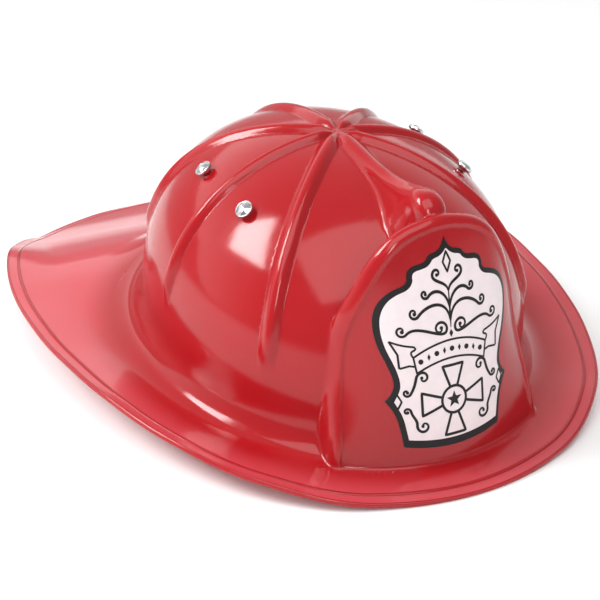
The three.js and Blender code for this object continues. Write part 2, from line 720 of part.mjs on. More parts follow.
function crownStrapGeometry(fromSite, toSite, crossingZ) {
  const heading = toSite.point.clone().addScaledVector(toSite.normal, -(CROWN_DEPTH + CROWN_T / 2))
    .sub(fromSite.point.clone().addScaledVector(fromSite.normal, -(CROWN_DEPTH + CROWN_T / 2)))
    .setZ(0).normalize();
  const across = vec(-heading.y, heading.x, 0);
  const from = strapEnd(fromSite, heading);
  const to = strapEnd(toSite, heading);
  const stations = [from.station(-CROWN_TAIL), from.station(0), from.station(CROWN_LEAD)];
  const start = stations[2].centre;
  const finish = to.station(-CROWN_LEAD).centre;
  const middle = start.clone().add(finish).multiplyScalar(0.5).setZ(crossingZ);
  const reach = start.distanceTo(middle);
  const drop = start.z - middle.z;
  // a direction of the arch, turned towards that of the nearer end
  const eased = (base, key, t) => {
    const result = base.clone();
    if (t < CROWN_EASE) result.lerp(from[key], 1 - t / CROWN_EASE);
    if (t > 1 - CROWN_EASE) result.lerp(to[key], (t - (1 - CROWN_EASE)) / CROWN_EASE);
    return result.normalize();
  };
  for (let i = 1; i < CROWN_STEPS; i++) {
    const t = i / CROWN_STEPS;
    const side = t * 2 - 1;        // -1 at the start, 0 at the crossing, 1 at the finish
    const slope = 2 * side * drop / reach;
    const normal = vec(-heading.x * slope, -heading.y * slope, 1).normalize();
    stations.push({
      centre: start.clone().lerp(finish, t).setZ(middle.z + drop * side * side),
      normal: eased(normal, 'normal', t),
      across: eased(across, 'across', t),
    });
  }
  stations.push(to.station(-CROWN_LEAD), to.station(0), to.station(CROWN_TAIL));

  let strap = toSolid(ribbon(stations, CROWN_STRAP_WIDTH, CROWN_T));
  for (const site of [fromSite, toSite]) strap = drill(strap, site, RIVET_HOLE_R, 12, 2);
  strap = drill(strap, { point: vec(0, 0, 92), normal: UP }, 1.8, 10, 4);
  return toGeometry(strap);
}

// rivet through both straps where they cross
function crownRivetGeometry() {
  const top = CROWN_STRAP_Z.b + CROWN_T / 2;
  const bottom = CROWN_STRAP_Z.a - CROWN_T / 2;
  return placeAt(turned([
    [0, top + 1.6], [2.6, top + 1.4], [4.2, top + 0.9], [4.2, top + GAP], [1.5, top + GAP],
    [1.5, bottom - GAP], [4.2, bottom - GAP], [4.2, bottom - 0.8], [2.6, bottom - 1.2],
    [0, bottom - 1.3],
  ], 18), { point: vec(0, 0, 0), normal: UP });
}

// ---------------------------------------------------------------- headband
const FRONT_RADIUS_Y = BAND_WIDEST_Y - BAND_FRONT;   // front ellipse, along Y
// ellipse behind the widest point, which meets the straight arm at ARM_START_Y
const SIDE_RADIUS_Y = (ARM_START_Y - BAND_WIDEST_Y) / Math.sqrt(1 - (ARM_X / BAND_HALF_WIDTH) ** 2);
const ARC_STEPS = 11;

// outer half width of the fixed band
function frontBandX(y) {
  if (y >= ARM_START_Y) return ARM_X;
  const radius = y <= BAND_WIDEST_Y ? FRONT_RADIUS_Y : SIDE_RADIUS_Y;
  return BAND_HALF_WIDTH * Math.sqrt(Math.max(0, 1 - ((y - BAND_WIDEST_Y) / radius) ** 2));
}

// [x, y] along a quarter ellipse from X = 0 out to halfWidth; reach is signed along Y
function quarterArc(halfWidth, centreY, reach) {
  const points = [];
  for (let i = 0; i <= ARC_STEPS; i++) {
    const angle = Math.PI / 2 * i / ARC_STEPS;
    points.push([halfWidth * Math.sin(angle), centreY + reach * Math.cos(angle)]);
  }
  return points;
}

// outer faces of the two U-shaped bands: +X half, from the middle to the arm's tip
const FRONT_HALF = [
  ...quarterArc(BAND_HALF_WIDTH, BAND_WIDEST_Y, -FRONT_RADIUS_Y),
  ...[-8, 3, 14, ARM_START_Y, ARM_END_Y].map(y => [frontBandX(y), y]),
];
const REAR_HALF = [
  ...quarterArc(REAR_ARM_X, REAR_ARC_Y, BAND_REAR - REAR_ARC_Y),
  [REAR_ARM_X, REAR_TIP_Y],
];

// half path moved inwards, towards the head
function offsetInwards(half, distance) {
  const last = half.length - 1;
  const turn = Math.sign(half[last][1] - half[0][1]);   // 1 for the front band, -1 for the rear
  return half.map((point, i) => {
    const before = i === 0 ? [-half[1][0], half[1][1]] : half[i - 1];
    const after = half[Math.min(i + 1, last)];
    const alongX = after[0] - before[0];
    const alongY = after[1] - before[1];
    const step = turn * distance / Math.hypot(alongX, alongY);
    return [point[0] - alongY * step, point[1] + alongX * step];
  });
}

// whole U from +X tip to -X tip
const mirrored = half => [...half.slice().reverse(), ...half.slice(1).map(([x, y]) => [-x, y])];
const toShapePoints = points => points.map(([x, y]) => new THREE.Vector2(x, y));

function bandSolid(half, z, height) {
  const outer = mirrored(half);
  const inner = mirrored(offsetInwards(half, BAND_T));
  const shape = new THREE.Shape(toShapePoints([...outer, ...inner.reverse()]));
  const options = { depth: height, bevelEnabled: false, steps: 1 };
  return toSolid(new THREE.ExtrudeGeometry(shape, options).translate(0, 0, z));
}

// hanger feet: sites on the fixed band's outer face
const footSites = atCorners((end, sign) => {
  const y = FOOT_Y[end];
  const slope = frontBandX(y + 0.5) - frontBandX(y - 0.5);
  return {
    point: vec(sign * frontBandX(y), y, FOOT_Z),
    normal: vec(sign, -slope, 0).normalize(),
  };
});

function frontBandGeometry() {
  let band = bandSolid(FRONT_HALF, BAND_Z, BAND_H);
  for (const site of Object.values(footSites)) band = drill(band, site, FOOT_HOLE_R, 5, 5);
  for (const [, sign] of SIDES) {  // slot for the size stud's travel
    const slot = new THREE.BoxGeometry(8, 2 * SLIDE + 2.8, 3.2);
    band = band.subtract(toSolid(slot.translate(sign * ARM_X, STUD_Y, SLOT_Z)));
  }
  return toGeometry(band);
}

function rearBandGeometry() {
  let band = bandSolid(REAR_HALF, BAND_Z + 1, BAND_H - 2);
  for (const [, sign] of SIDES) {
    const site = { point: vec(sign * REAR_ARM_X, STUD_Y, SLOT_Z), normal: vec(sign, 0, 0) };
    band = drill(band, site, 1.3, 5, 5);
  }
  return toGeometry(band);
}

// stud clipped through the sliding arm, its shank riding in the slot; profile heights are |X|
function sizeStudGeometry(sign) {
  const inner = REAR_ARM_X - BAND_T;
  const outer = ARM_X;
  return placeAt(turned([
    [0, outer + 2.0], [2.4, outer + 1.8], [3.4, outer + 1.2], [3.4, outer + 0.4],
    [1.0, outer + 0.4], [1.0, inner - 0.3], [2.4, inner - 0.3], [2.4, inner - 0.9],
    [0, inner - 1.0],
  ]), { point: vec(0, STUD_Y, SLOT_Z), normal: vec(sign, 0, 0) });
}

// loop round both arms near the end of the fixed band
function keeperGeometry(sign) {
  const wall = 1.1;
  const startY = 42.8;
  const inner = REAR_ARM_X - BAND_T - 0.4;
  const outer = ARM_X + 0.3;
  const low = BAND_Z - 0.3;
  const high = BAND_Z + BAND_H + 0.3;
  // the profile is drawn in X and -Z, and extruded towards +Y once turned upright
  const shape = new THREE.Shape(toShapePoints([
    [inner - wall, -low + wall], [inner - wall, -high - wall],
    [outer + wall, -high - wall], [outer + wall, -low + wall],
  ]));
  shape.holes.push(new THREE.Path(toShapePoints([
    [inner, -low], [outer, -low], [outer, -high], [inner, -high],
  ])));
  const loop = weld(new THREE.ExtrudeGeometry(shape, { depth: 6, bevelEnabled: false }));
  return orient(loop.rotateX(-Math.PI / 2).translate(0, startY, 0).scale(sign, 1, 1));
}

// cushion against the inside of a band, along the first `count` points of its half path
function padGeometry(half, count, z, height) {
  const outer = mirrored(offsetInwards(half, BAND_T + 0.4).slice(0, count));
  const inner = mirrored(offsetInwards(half, BAND_T + 4.4).slice(0, count));
  return bar(outer.map((point, i) => [
    [...point, z], [...point, z + height],
    [...inner[i], z + height - 2], [...inner[i], z + 2],
  ]));
}

// ---------------------------------------------------------------- hangers, rivets to headband
const HANGER_STEPS = 8;

function hangerGeometry(rivet, foot) {
  const top = rivet.point.clone().addScaledVector(rivet.normal, -(TAB_DEPTH + TAB_T / 2));
  const topAcross = vec().crossVectors(UP, rivet.normal).normalize();
  const footAcross = vec().crossVectors(UP, foot.normal).normalize();
  const down = vec().crossVectors(topAcross, rivet.normal).normalize();
  if (down.z > 0) down.negate();

  // flat tab under the rivet
  const stations = [-5, 0, 5.2].map(along => ({
    centre: top.clone().addScaledVector(down, along),
    normal: rivet.normal,
    across: topAcross,
  }));
  // curve down to just above the band
  const start = stations[2].centre;
  const end = foot.point.clone().addScaledVector(foot.normal, GAP + TAB_T / 2);
  const landing = end.clone().setZ(BAND_Z + BAND_H + 2);
  const curve = new THREE.CubicBezierCurve3(
    start,
    start.clone().addScaledVector(down, 15).addScaledVector(rivet.normal, -5),
    landing.clone().add(vec(0, 0, 17)),
    landing,
  );
  for (let i = 1; i <= HANGER_STEPS; i++) {
    const t = i / HANGER_STEPS;
    const tangent = curve.getTangent(t);
    const across = topAcross.clone().lerp(footAcross, smooth(0, 1, t));
    across.addScaledVector(tangent, -across.dot(tangent)).normalize();
    const normal = vec().crossVectors(across, tangent).normalize();
    if (normal.dot(rivet.normal) < 0) normal.negate();
    stations.push({ centre: curve.getPoint(t), normal, across });
  }
  // foot lying on the band
  stations.push({ centre: end.clone().setZ(SLOT_Z - 2), normal: foot.normal, across: footAcross });

  let hanger = toSolid(ribbon(stations, HANGER_WIDTH, TAB_T));
  hanger = drill(hanger, rivet, RIVET_HOLE_R, 12, 2);
  hanger = drill(hanger, foot, FOOT_HOLE_R, 5, 5);
  return toGeometry(hanger);
}

// snap stud through the hanger's foot and the band
function bandStudGeometry(site) {
  const seat = GAP + TAB_T + GAP;
  const depth = BAND_T + 0.1;
  return placeAt(turned([
    [0, seat + 1.0], [2.0, seat + 0.9], [2.9, seat + 0.3], [2.9, seat], [1.2, seat],
    [1.2, -depth], [0, -depth],
  ]), site);
}

// ---------------------------------------------------------------- materials
const material = settings => new THREE.MeshStandardMaterial(settings);
const RED = material({ color: 0xc81e26, roughness: 0.18, metalness: 0 });
const WHITE = material({ color: 0xf1e6e8, roughness: 0.45, metalness: 0 });
const STEEL = material({ color: 0xb9b9bb, roughness: 0.28, metalness: 1 });
const DARK_STEEL = material({ color: 0x8d8e92, roughness: 0.4, metalness: 1 });
const BAND = material({ color: 0x1c1c1f, roughness: 0.5, metalness: 0 });
const STRAP = material({ color: 0x23242a, roughness: 0.85, metalness: 0 });
const FOAM = material({ color: 0x2b2b2f, roughness: 0.95, metalness: 0 });

// ---------------------------------------------------------------- assembly
const root = new THREE.Group();
const tipped = new THREE.Group();
tipped.applyMatrix4(rest);
root.add(tipped);

function add(name, geometry, surface) {
  const mesh = new THREE.Mesh(geometry, surface);
  mesh.name = name;
  tipped.add(mesh);
}

add('shell', shellGeometry(), RED);
add('badge', badgeGeometry(), WHITE);
for (const [corner, site] of Object.entries(rivetSites)) {
  add(`rivet_${corner}`, rivetGeometry(site), STEEL);
  add(`washer_${corner}`, washerGeometry(site), DARK_STEEL);
}
for (const [strap, from, to] of [
  ['a', 'front_left', 'rear_right'],
  ['b', 'front_right', 'rear_left'],
]) {
  const geometry = crownStrapGeometry(rivetSites[from], rivetSites[to], CROWN_STRAP_Z[strap]);
  add(`crown_strap_${strap}`, geometry, STRAP);
}
add('crown_rivet', crownRivetGeometry(), STEEL);
add('headband_front', frontBandGeometry(), BAND);
add('headband_rear', rearBandGeometry(), BAND);
for (const [side, sign] of SIDES) {
  add(`size_stud_${side}`, sizeStudGeometry(sign), BAND);
  add(`keeper_${side}`, keeperGeometry(sign), BAND);
}
add('brow_pad', padGeometry(FRONT_HALF, 9, BAND_Z - 1, BAND_H + 1), FOAM);
add('nape_pad', padGeometry(REAR_HALF, 8, BAND_Z + 1, BAND_H - 2), FOAM);
for (const [corner, rivet] of Object.entries(rivetSites)) {
  add(`hanger_${corner}`, hangerGeometry(rivet, footSites[corner]), STRAP);
  add(`band_stud_${corner}`, bandStudGeometry(footSites[corner]), BAND);
}

export default root;
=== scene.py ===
"""Red ribbed helmet with a long rear brim, a standing front shield, a badge and a headband.

Shapes are drawn in the dome frame, in mm: origin on the dome's axis, x across, -y to the
front, z up. The row frame is in metres: the helmet is tipped nose down and stands on z = 0.
Directions in plan (phi) are 0 at the front; rho is a fraction of the dome's plan radius.
Fields are signed distances, near enough, negative inside.
"""
import math
import bmesh
import bpy
import numpy as np
from mathutils import Matrix, Vector


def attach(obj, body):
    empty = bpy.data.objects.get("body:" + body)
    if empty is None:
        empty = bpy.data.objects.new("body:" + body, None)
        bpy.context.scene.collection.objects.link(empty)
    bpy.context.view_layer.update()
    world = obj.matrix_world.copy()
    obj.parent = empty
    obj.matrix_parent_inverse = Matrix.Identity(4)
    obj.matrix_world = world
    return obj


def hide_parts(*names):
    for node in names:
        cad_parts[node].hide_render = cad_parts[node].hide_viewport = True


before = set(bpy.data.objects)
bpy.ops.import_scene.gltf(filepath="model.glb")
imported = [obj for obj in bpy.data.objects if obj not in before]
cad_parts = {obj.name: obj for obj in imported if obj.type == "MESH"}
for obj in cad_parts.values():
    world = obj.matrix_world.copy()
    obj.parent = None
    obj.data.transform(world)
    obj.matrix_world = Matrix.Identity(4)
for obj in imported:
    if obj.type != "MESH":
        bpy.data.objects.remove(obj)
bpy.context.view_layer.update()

# ---------------------------------------------------------------- driving sizes (mm)
DOME_HALF_X, DOME_HALF_Y, DOME_HEIGHT = 90.0, 113.46, 107.16
PLAN_POWER, HEIGHT_POWER = 1.9592, 2.8836       # exponents of the dome's profile
WALL = 2.2
RIB_COUNT, RIB_HEIGHT = 8, 2.9
RIB_HALF_PERCENT = 4.9                          # half width, in percent of the plan radius
CREASE_Z = 0.7                                  # where the dome's foot meets the brim
FLARE_HEIGHT = 19.0
FLARE_SOFT, SOFT_POWER = 6.72, 2.2              # wide part of the foot's flare
FLARE_SHARP, SHARP_POWER = 3.48, 9              # tight part, next to the crease
FLARE_WIDTH = FLARE_SOFT + FLARE_SHARP
FLANGE_WIDTH, FLANGE_STEP = 6.0, 0.55           # lowered strip along the brim's edge
BRIM_HALF_WIDTH, BRIM_POWER = 138.3, 2.1
REAR_START_Y, REAR_LENGTH = 56.8, 170.5         # superelliptic rear of the brim
FRONT_POLE_Y = 49.4                             # centre from which the front is measured
TIP, LIFT, SHIFT_Y = math.radians(5.35), 16.55, -41.842
COS_TIP, SIN_TIP = math.cos(TIP), math.sin(TIP)


# ---------------------------------------------------------------- frames and curves
def turn_to_row(vectors):
    """Turn dome-frame directions into the row frame."""
    vectors = np.asarray(vectors, float)
    out = np.empty_like(vectors)
    out[..., 0] = vectors[..., 0]
    out[..., 1] = vectors[..., 1] * COS_TIP - vectors[..., 2] * SIN_TIP
    out[..., 2] = vectors[..., 1] * SIN_TIP + vectors[..., 2] * COS_TIP
    return out


def to_row(points):
    """Dome frame in mm to row frame in metres."""
    return (turn_to_row(points) + [0.0, SHIFT_Y, LIFT]) / 1000.0


def from_row(points):
    """Row frame in metres to dome frame in mm."""
    x, y, z = (points * 1000).T
    y, z = y - SHIFT_Y, z - LIFT
    return np.stack([x, y * COS_TIP + z * SIN_TIP, -y * SIN_TIP + z * COS_TIP], 1)


def clip01(value):
    return np.clip(value, 0.0, 1.0)


def smooth(start, end, value):
    """Smoothstep from 0 at start to 1 at end."""
    t = clip01((value - start) / (end - start))
    return t * t * (3 - 2 * t)


def lerp(first, last, t):
    return first + (last - first) * t


def smin(first, second, blend):
    """Smaller of two fields, rounded over a blend width: a union."""
    t = clip01(0.5 + 0.5 * (second - first) / blend)
    return second * (1 - t) + first * t - blend * t * (1 - t)


def smax(first, second, blend):
    return -smin(-first, -second, blend)


def table(points):
    """Monotone cubic through (x, y) points, held at its end values beyond them."""
    xs, ys = np.array(points, float).T
    chords = np.diff(ys) / np.diff(xs)
    slopes = np.zeros(len(xs))
    slopes[0], slopes[-1] = chords[0], chords[-1]
    for i in range(1, len(xs) - 1):
        before, after = chords[i - 1], chords[i]
        if before * after > 0:
            slopes[i] = 2 * before * after / (before + after)

    def curve(value):
        value = np.clip(value, xs[0], xs[-1])
        i = np.clip(np.searchsorted(xs, value, side="right") - 1, 0, len(xs) - 2)
        gap = xs[i + 1] - xs[i]
        t = (value - xs[i]) / gap
        t2, t3 = t * t, t * t * t
        return ((2 * t3 - 3 * t2 + 1) * ys[i] + (t3 - 2 * t2 + t) * gap * slopes[i]
                + (-2 * t3 + 3 * t2) * ys[i + 1] + (t3 - t2) * gap * slopes[i + 1])
    return curve


def spline(xs, ys):
    """Cubic spline, level at its start and natural at its end; gives value and slope."""
    xs, ys = np.array(xs, float), np.array(ys, float)
    count = len(xs)
    gaps = np.diff(xs)
    system, right = np.zeros((count, count)), np.zeros(count)
    system[0, 0], system[0, 1] = 2 * gaps[0], gaps[0]
    right[0] = 6 * (ys[1] - ys[0]) / gaps[0]
    system[-1, -1] = 1
    for i in range(1, count - 1):
        system[i, i - 1:i + 2] = gaps[i - 1], 2 * (gaps[i - 1] + gaps[i]), gaps[i]
        right[i] = 6 * ((ys[i + 1] - ys[i]) / gaps[i] - (ys[i] - ys[i - 1]) / gaps[i - 1])
    bends = np.linalg.solve(system, right)

    def curve(value):
        value = np.clip(value, xs[0], xs[-1])
        i = np.clip(np.searchsorted(xs, value, side="right") - 1, 0, count - 2)
        gap = xs[i + 1] - xs[i]
        a, b = (xs[i + 1] - value) / gap, (value - xs[i]) / gap
        height = (a * ys[i] + b * ys[i + 1]
                  + ((a ** 3 - a) * bends[i] + (b ** 3 - b) * bends[i + 1]) * gap * gap / 6)
        slope = ((ys[i + 1] - ys[i]) / gap
                 + (-(3 * a * a - 1) * bends[i] + (3 * b * b - 1) * bends[i + 1]) * gap / 6)
        return height, slope
    return curve


# ---------------------------------------------------------------- dome, ribs, flared foot
def dome_radius(x, y, radius):
    """Plan radius of the dome in the direction of (x, y), which lies at the given radius."""
    return 1 / np.hypot(x / radius / DOME_HALF_X, y / radius / DOME_HALF_Y)


def dome_z(rho):
    profile = np.maximum(0, 1 - np.asarray(rho, float) ** PLAN_POWER)
    return DOME_HEIGHT * profile ** (1 / HEIGHT_POWER)


def dome_point(phi, rho):
    radius = dome_radius(math.sin(phi), math.cos(phi), 1.0) * rho
    return np.array([radius * math.sin(phi), -radius * math.cos(phi), float(dome_z(rho))])


def dome_normal(phi, rho):
    gap = 1e-3
    around = dome_point(phi + gap, rho) - dome_point(phi - gap, rho)
    outward = dome_point(phi, rho + gap) - dome_point(phi, rho - gap)
    normal = np.cross(outward, around)
    normal /= np.linalg.norm(normal)
    return -normal if normal[2] < 0 else normal


def dome_field(x, y, z):
    radius = np.hypot(x, y) + 1e-6
    plan = dome_radius(x, y, radius)
    up = clip01((z - CREASE_Z) / FLARE_HEIGHT)
    low = 1 - up
    flare = FLARE_SOFT * low ** SOFT_POWER + FLARE_SHARP * low ** SHARP_POWER
    steepness = (FLARE_SOFT * SOFT_POWER * low ** (SOFT_POWER - 1)
                 + FLARE_SHARP * SHARP_POWER * low ** (SHARP_POWER - 1)) / FLARE_HEIGHT
    flare_slope = np.where((z > CREASE_Z) & (up < 1), -steepness, 0.0)
    part = np.maximum(radius - flare, 0.02) / plan
    level = np.maximum(z, 0) / DOME_HEIGHT
    excess = part ** PLAN_POWER + level ** HEIGHT_POWER - 1
    grad_r = PLAN_POWER * part ** (PLAN_POWER - 1) / plan
    grad_z = HEIGHT_POWER * level ** (HEIGHT_POWER - 1) / DOME_HEIGHT - grad_r * flare_slope
    field = excess / np.sqrt(grad_r * grad_r + grad_z * grad_z + 1e-10)

    # ribs run down from the crown, where they narrow into a low cap
    rho = np.minimum(radius / plan, 1.2)
    half = np.minimum(RIB_HALF_PERCENT, 38.5 * rho) * plan / 100 + 1e-6
    ribs = np.zeros_like(field)
    for k in range(RIB_COUNT):
        angle = k * 2 * math.pi / RIB_COUNT
        sine, cosine = math.sin(angle), math.cos(angle)
        along = x * sine - y * cosine
        across = np.abs(x * cosine + y * sine) / half
        height = np.maximum(0, 1 - across ** 2.2) ** 1.35
        ribs = np.maximum(ribs, np.where(along > 0, height, 0))
    rho_at_z = np.maximum(1 - np.minimum(level, 1) ** HEIGHT_POWER, 0) ** (1 / PLAN_POWER)
    foot_fade = 1 - smooth(0.952, 0.99, rho_at_z) * (z < 80)
    off_crown = smooth(0, 0.1, rho)
    raised = RIB_HEIGHT * ribs * foot_fade * off_crown + 1.05 * (1 - off_crown)
    return field - raised * (z > 5)


# ---------------------------------------------------------------- brim
REAR_DROP = [(191, -25.3), (200, -28.2), (207.5, -30.3), (215.5, -32.4), (221.7, -33.9),
             (227.3, -36)]
# (y, z) of the brim's edge
edge_z = table([
    (-147, -0.9), (-136.5, 0.2), (-106.7, 5.2), (-65.7, 6.9), (-25.2, 7.3), (12.9, 6.3),
    (49.4, 5.2), (77.7, 3.6), (101.4, 2.4), (123, 1.1), (136.4, -0.5), (145, -3.1),
    (160.4, -9.6), (170.7, -14.2), (178.7, -18.2), (185.3, -22.1), (190.9, -25.3)]
    + REAR_DROP[1:])
# (y, z) of the sheet between the side valleys
sheet_z = table([
    (-147, 0.7), (60, 0.7), (90, 0.2), (110, -1.2), (125, -3.5), (140, -7.5), (160, -14),
    (175, -19.6)] + REAR_DROP)
# (y, x) of the valley from which each side turns up
valley_x = table([(-30, 101), (0, 106.5), (28, 110), (61, 109), (104, 105), (140, 98.5),
                  (175, 92), (191, 89), (228, 80)])
# (degrees from the front, radius from the front pole) of the outline
front_radius = table([(-15, 192.5), (0, 196.3), (15, 192.5), (30, 180.3), (45, 162.8),
                      (60, 149.1), (75, 141.2), (90, 138.8), (105, 141.0)])


def half_outline():
    """Outline of one half in plan, from the front to the rear."""
    s = np.linspace(0, 2, 3001)
    front = s[s <= 1]
    degrees = front * 90
    radius = front_radius(degrees)
    widen = lerp(1, BRIM_HALF_WIDTH / front_radius(90.0), front)
    front_x = radius * np.sin(np.radians(degrees)) * widen
    front_y = (FRONT_POLE_Y - radius * np.cos(np.radians(degrees))
               + (REAR_START_Y - FRONT_POLE_Y) * smooth(0.3, 1, front))
    angle = (s[s > 1] - 1) * math.pi / 2
    rear_x = BRIM_HALF_WIDTH * np.maximum(0, np.cos(angle)) ** (2 / BRIM_POWER)
    rear_y = REAR_START_Y + REAR_LENGTH * np.maximum(0, np.sin(angle)) ** (2 / BRIM_POWER)
    return np.concatenate([front_x, rear_x]), np.concatenate([front_y, rear_y])


def faired_edge(count=2401):
    """Outline radius by direction and its slope, very slightly faired."""
    x, y = half_outline()
    angles = np.linspace(0, math.pi, count)
    radius = np.interp(angles, np.arctan2(x, -y), np.hypot(x, y))
    kernel = np.exp(-np.linspace(-2, 2, 25) ** 2)
    kernel /= kernel.sum()
    padded = np.concatenate([radius[12:0:-1], radius, radius[-2:-14:-1]])
    radius = np.convolve(padded, kernel, mode="valid")
    return radius, np.gradient(radius, angles)


EDGE_RADIUS, EDGE_SLOPE = faired_edge()


def edge_at(phi):
    """Outline radius and its slope in direction phi."""
    place = np.abs(phi) * (len(EDGE_RADIUS) - 1) / math.pi
    i = np.clip(place.astype(int), 0, len(EDGE_RADIUS) - 2)
    t = place - i
    return (EDGE_RADIUS[i] * (1 - t) + EDGE_RADIUS[i + 1] * t,
            EDGE_SLOPE[i] * (1 - t) + EDGE_SLOPE[i + 1] * t)


def brim_z(x, y):
    """Height of the brim's outer skin, before the flange is lowered."""
    radius = np.hypot(x, y) + 1e-6
    phi = np.arctan2(x, -y)
    edge = edge_at(phi)[0]
    root = dome_radius(x, y, radius) + FLARE_WIDTH
    t = np.clip((radius - root) / (edge - root), 0, 1.08)
    front = lerp(CREASE_Z, edge_z(-edge * np.cos(phi)), t ** 1.6)

    # beside and behind the dome: a flat sheet whose margin turns to the edge's height
    valley = valley_x(y)
    tail = np.maximum(0, 1 - (np.maximum(0, y - REAR_START_Y) / REAR_LENGTH) ** BRIM_POWER)
    tail = BRIM_HALF_WIDTH * tail ** (1 / BRIM_POWER)
    rim_x = np.where(y < REAR_START_Y, np.maximum(np.abs(edge * np.sin(phi)), valley + 8),
                     np.maximum(tail, valley + 0.5))
    sheet = sheet_z(y)
    past = np.abs(x) - valley
    past = 0.5 * (past + np.sqrt(past * past + 3.0 * 3.0))      # rounded hinge
    rise = np.minimum(past / np.maximum(rim_x - valley, 4.0), 1.1)
    margin = (edge_z(y) - sheet) * rise * smooth(0.3, 4.0, rim_x - valley)
    side = lerp(CREASE_Z, sheet, smooth(0, 0.25, t)) + margin
    return lerp(front, side, smooth(-45, 15, y))


def outline_field(x, y):
    """Distance outside the brim's outline, in plan."""
    edge, slope = edge_at(np.arctan2(x, -y))
    return (np.hypot(x, y) + 1e-6 - edge) / np.sqrt(1 + (slope / edge) ** 2)


def flange_drop(outside):
    return FLANGE_STEP * smooth(-FLANGE_WIDTH - 1.6, -FLANGE_WIDTH + 2.2, outside)


def brim_top(x, y):
    """Height of the brim's outer skin."""
    return brim_z(x, y) - flange_drop(outline_field(x, y))


def brim_field(x, y, z):
    """Distance above the brim's outer skin, and distance outside its outline."""
    gap = 0.4
    skin = brim_z(x, y)
    slope_x = (brim_z(x + gap, y) - skin) / gap
    slope_y = (brim_z(x, y + gap) - skin) / gap
    outside = outline_field(x, y)
    steep = np.sqrt(1 + slope_x * slope_x + slope_y * slope_y)
    return (z - skin + flange_drop(outside)) / steep, outside


# ---------------------------------------------------------------- standing shield
# (x, z) of the shield's arched outline, from its top to its foot
ARCH = [(0, 107.9), (9.4, 106.7), (18.9, 103.6), (26.6, 98.2), (33.4, 89.5), (36.9, 83.2),
        (39.2, 78), (41.7, 72.4), (43.9, 67), (45.7, 61), (47.1, 55.5), (48.7, 45),
        (51.8, 25), (53.9, 8), (54.9, -1)]
ARCH_CENTRE_Z = 40.0
arch_radius = spline([math.atan2(x, z - ARCH_CENTRE_Z) for x, z in ARCH],
                     [math.hypot(x, z - ARCH_CENTRE_Z) for x, z in ARCH])
arch_z = table(ARCH)

FACE_Y, FACE_LEAN, FACE_BOW = -126.95, 0.26, 0.00612    # place, backward lean, bow across
WING_X, WING_CURL = 22.7, 0.0165                        # extra curl of the two sides
UPPER_Z, UPPER_CURL = 56.8, 0.0015                      # extra lean of the upper part
RECESS, DISHING = 1.05, 0.45                            # depth within the margin, and more
BADGE_MARGIN = 2.7                                      # width of the raised margin


def face_y(x, z):
    """The shield's front before it is recessed."""
    wing = np.maximum(0, np.abs(x) - WING_X)
    return (FACE_Y + FACE_LEAN * z + FACE_BOW * x * x + WING_CURL * wing ** 2 * smooth(0, 60, z)
            + UPPER_CURL * np.maximum(0, z - UPPER_Z) ** 2)


def arch_field(x, z):
    """Distance outside the shield's outline, in its face."""
    radius = np.hypot(x, z - ARCH_CENTRE_Z)
    arch, slope = arch_radius(np.arctan2(np.abs(x), z - ARCH_CENTRE_Z))
    return (radius - arch) / np.sqrt(1 + (slope / arch) ** 2)


def back_table():
    """y of the shield's back by distance from the middle."""
    stations = np.array([0, 8, 16, 24, 32, 38, 42, 45, 48, 51, 54, 58, 62], float)
    thickness = 5.6
    face = face_y(stations, np.maximum(arch_z(stations), 45))
    return table(np.stack([stations, face + thickness], 1))


back_y = back_table()


def recess(x, z):
    depth = -arch_field(x, z)
    return RECESS * smooth(BADGE_MARGIN, 4.9, depth) + DISHING * smooth(4.9, 22.0, depth)


def recessed_y(x, z):
    """y of the recessed face."""
    gap = 0.3
    slope_x = (face_y(x + gap, z) - face_y(x - gap, z)) / (2 * gap)
    slope_z = (face_y(x, z + gap) - face_y(x, z - gap)) / (2 * gap)
    return face_y(x, z) + recess(x, z) * np.sqrt(1 + slope_x * slope_x + slope_z * slope_z)


def shield_field(x, y, z):
    level = np.clip(z, -1, 125)
    reach = np.abs(x)
    near_x = np.clip(x, -61, 61)
    slope_x = (2 * FACE_BOW * reach
               + 2 * WING_CURL * np.maximum(0, reach - WING_X) * smooth(0, 60, level))
    slope_z = FACE_LEAN + 2 * UPPER_CURL * np.maximum(0, level - UPPER_Z)
    steep = np.sqrt(1 + slope_x * slope_x + slope_z * slope_z)
    front = (face_y(near_x, level) - y) / steep + recess(near_x, level)
    return smax(smax(front, arch_field(x, z), 3.2), y - back_y(reach), 3.0)


# ---------------------------------------------------------------- fin and its nose knob
# (y, z) of the crest
fin_crest = table([
    (-98, 95), (-94, 101), (-91.5, 104.8), (-88.5, 109.2), (-85, 112.2), (-81.5, 113.6),
    (-79, 113.8), (-72, 112.6), (-64.6, 111), (-47, 108.9), (-33, 108.7), (-4, 109.2),
    (0, 109.0)])
# (y, half width) at the crest and at the dome
fin_top = table([(-98, 1), (-94, 2.4), (-91.5, 3.8), (-88.5, 5.2), (-85, 5.9), (-80, 6.1),
                 (-70, 5.2), (-55, 4.4), (-30, 4.2), (-8, 3.4), (0, 2.2)])
fin_base = table([(-98, 11.4), (-91.5, 12.0), (-88.5, 12.3), (-81, 12.6), (-70, 12.3),
                  (-61, 9.8), (-50, 7), (-37, 4.8), (-8, 3.8), (0, 2.6)])
FIN_FRONT_Y, FIN_REAR_Y = -93.0, -1.0
KNOB_Y, KNOB_Z, KNOB_RADIUS, KNOB_STRETCH = -83.5, 106.7, 5.8, 1.2


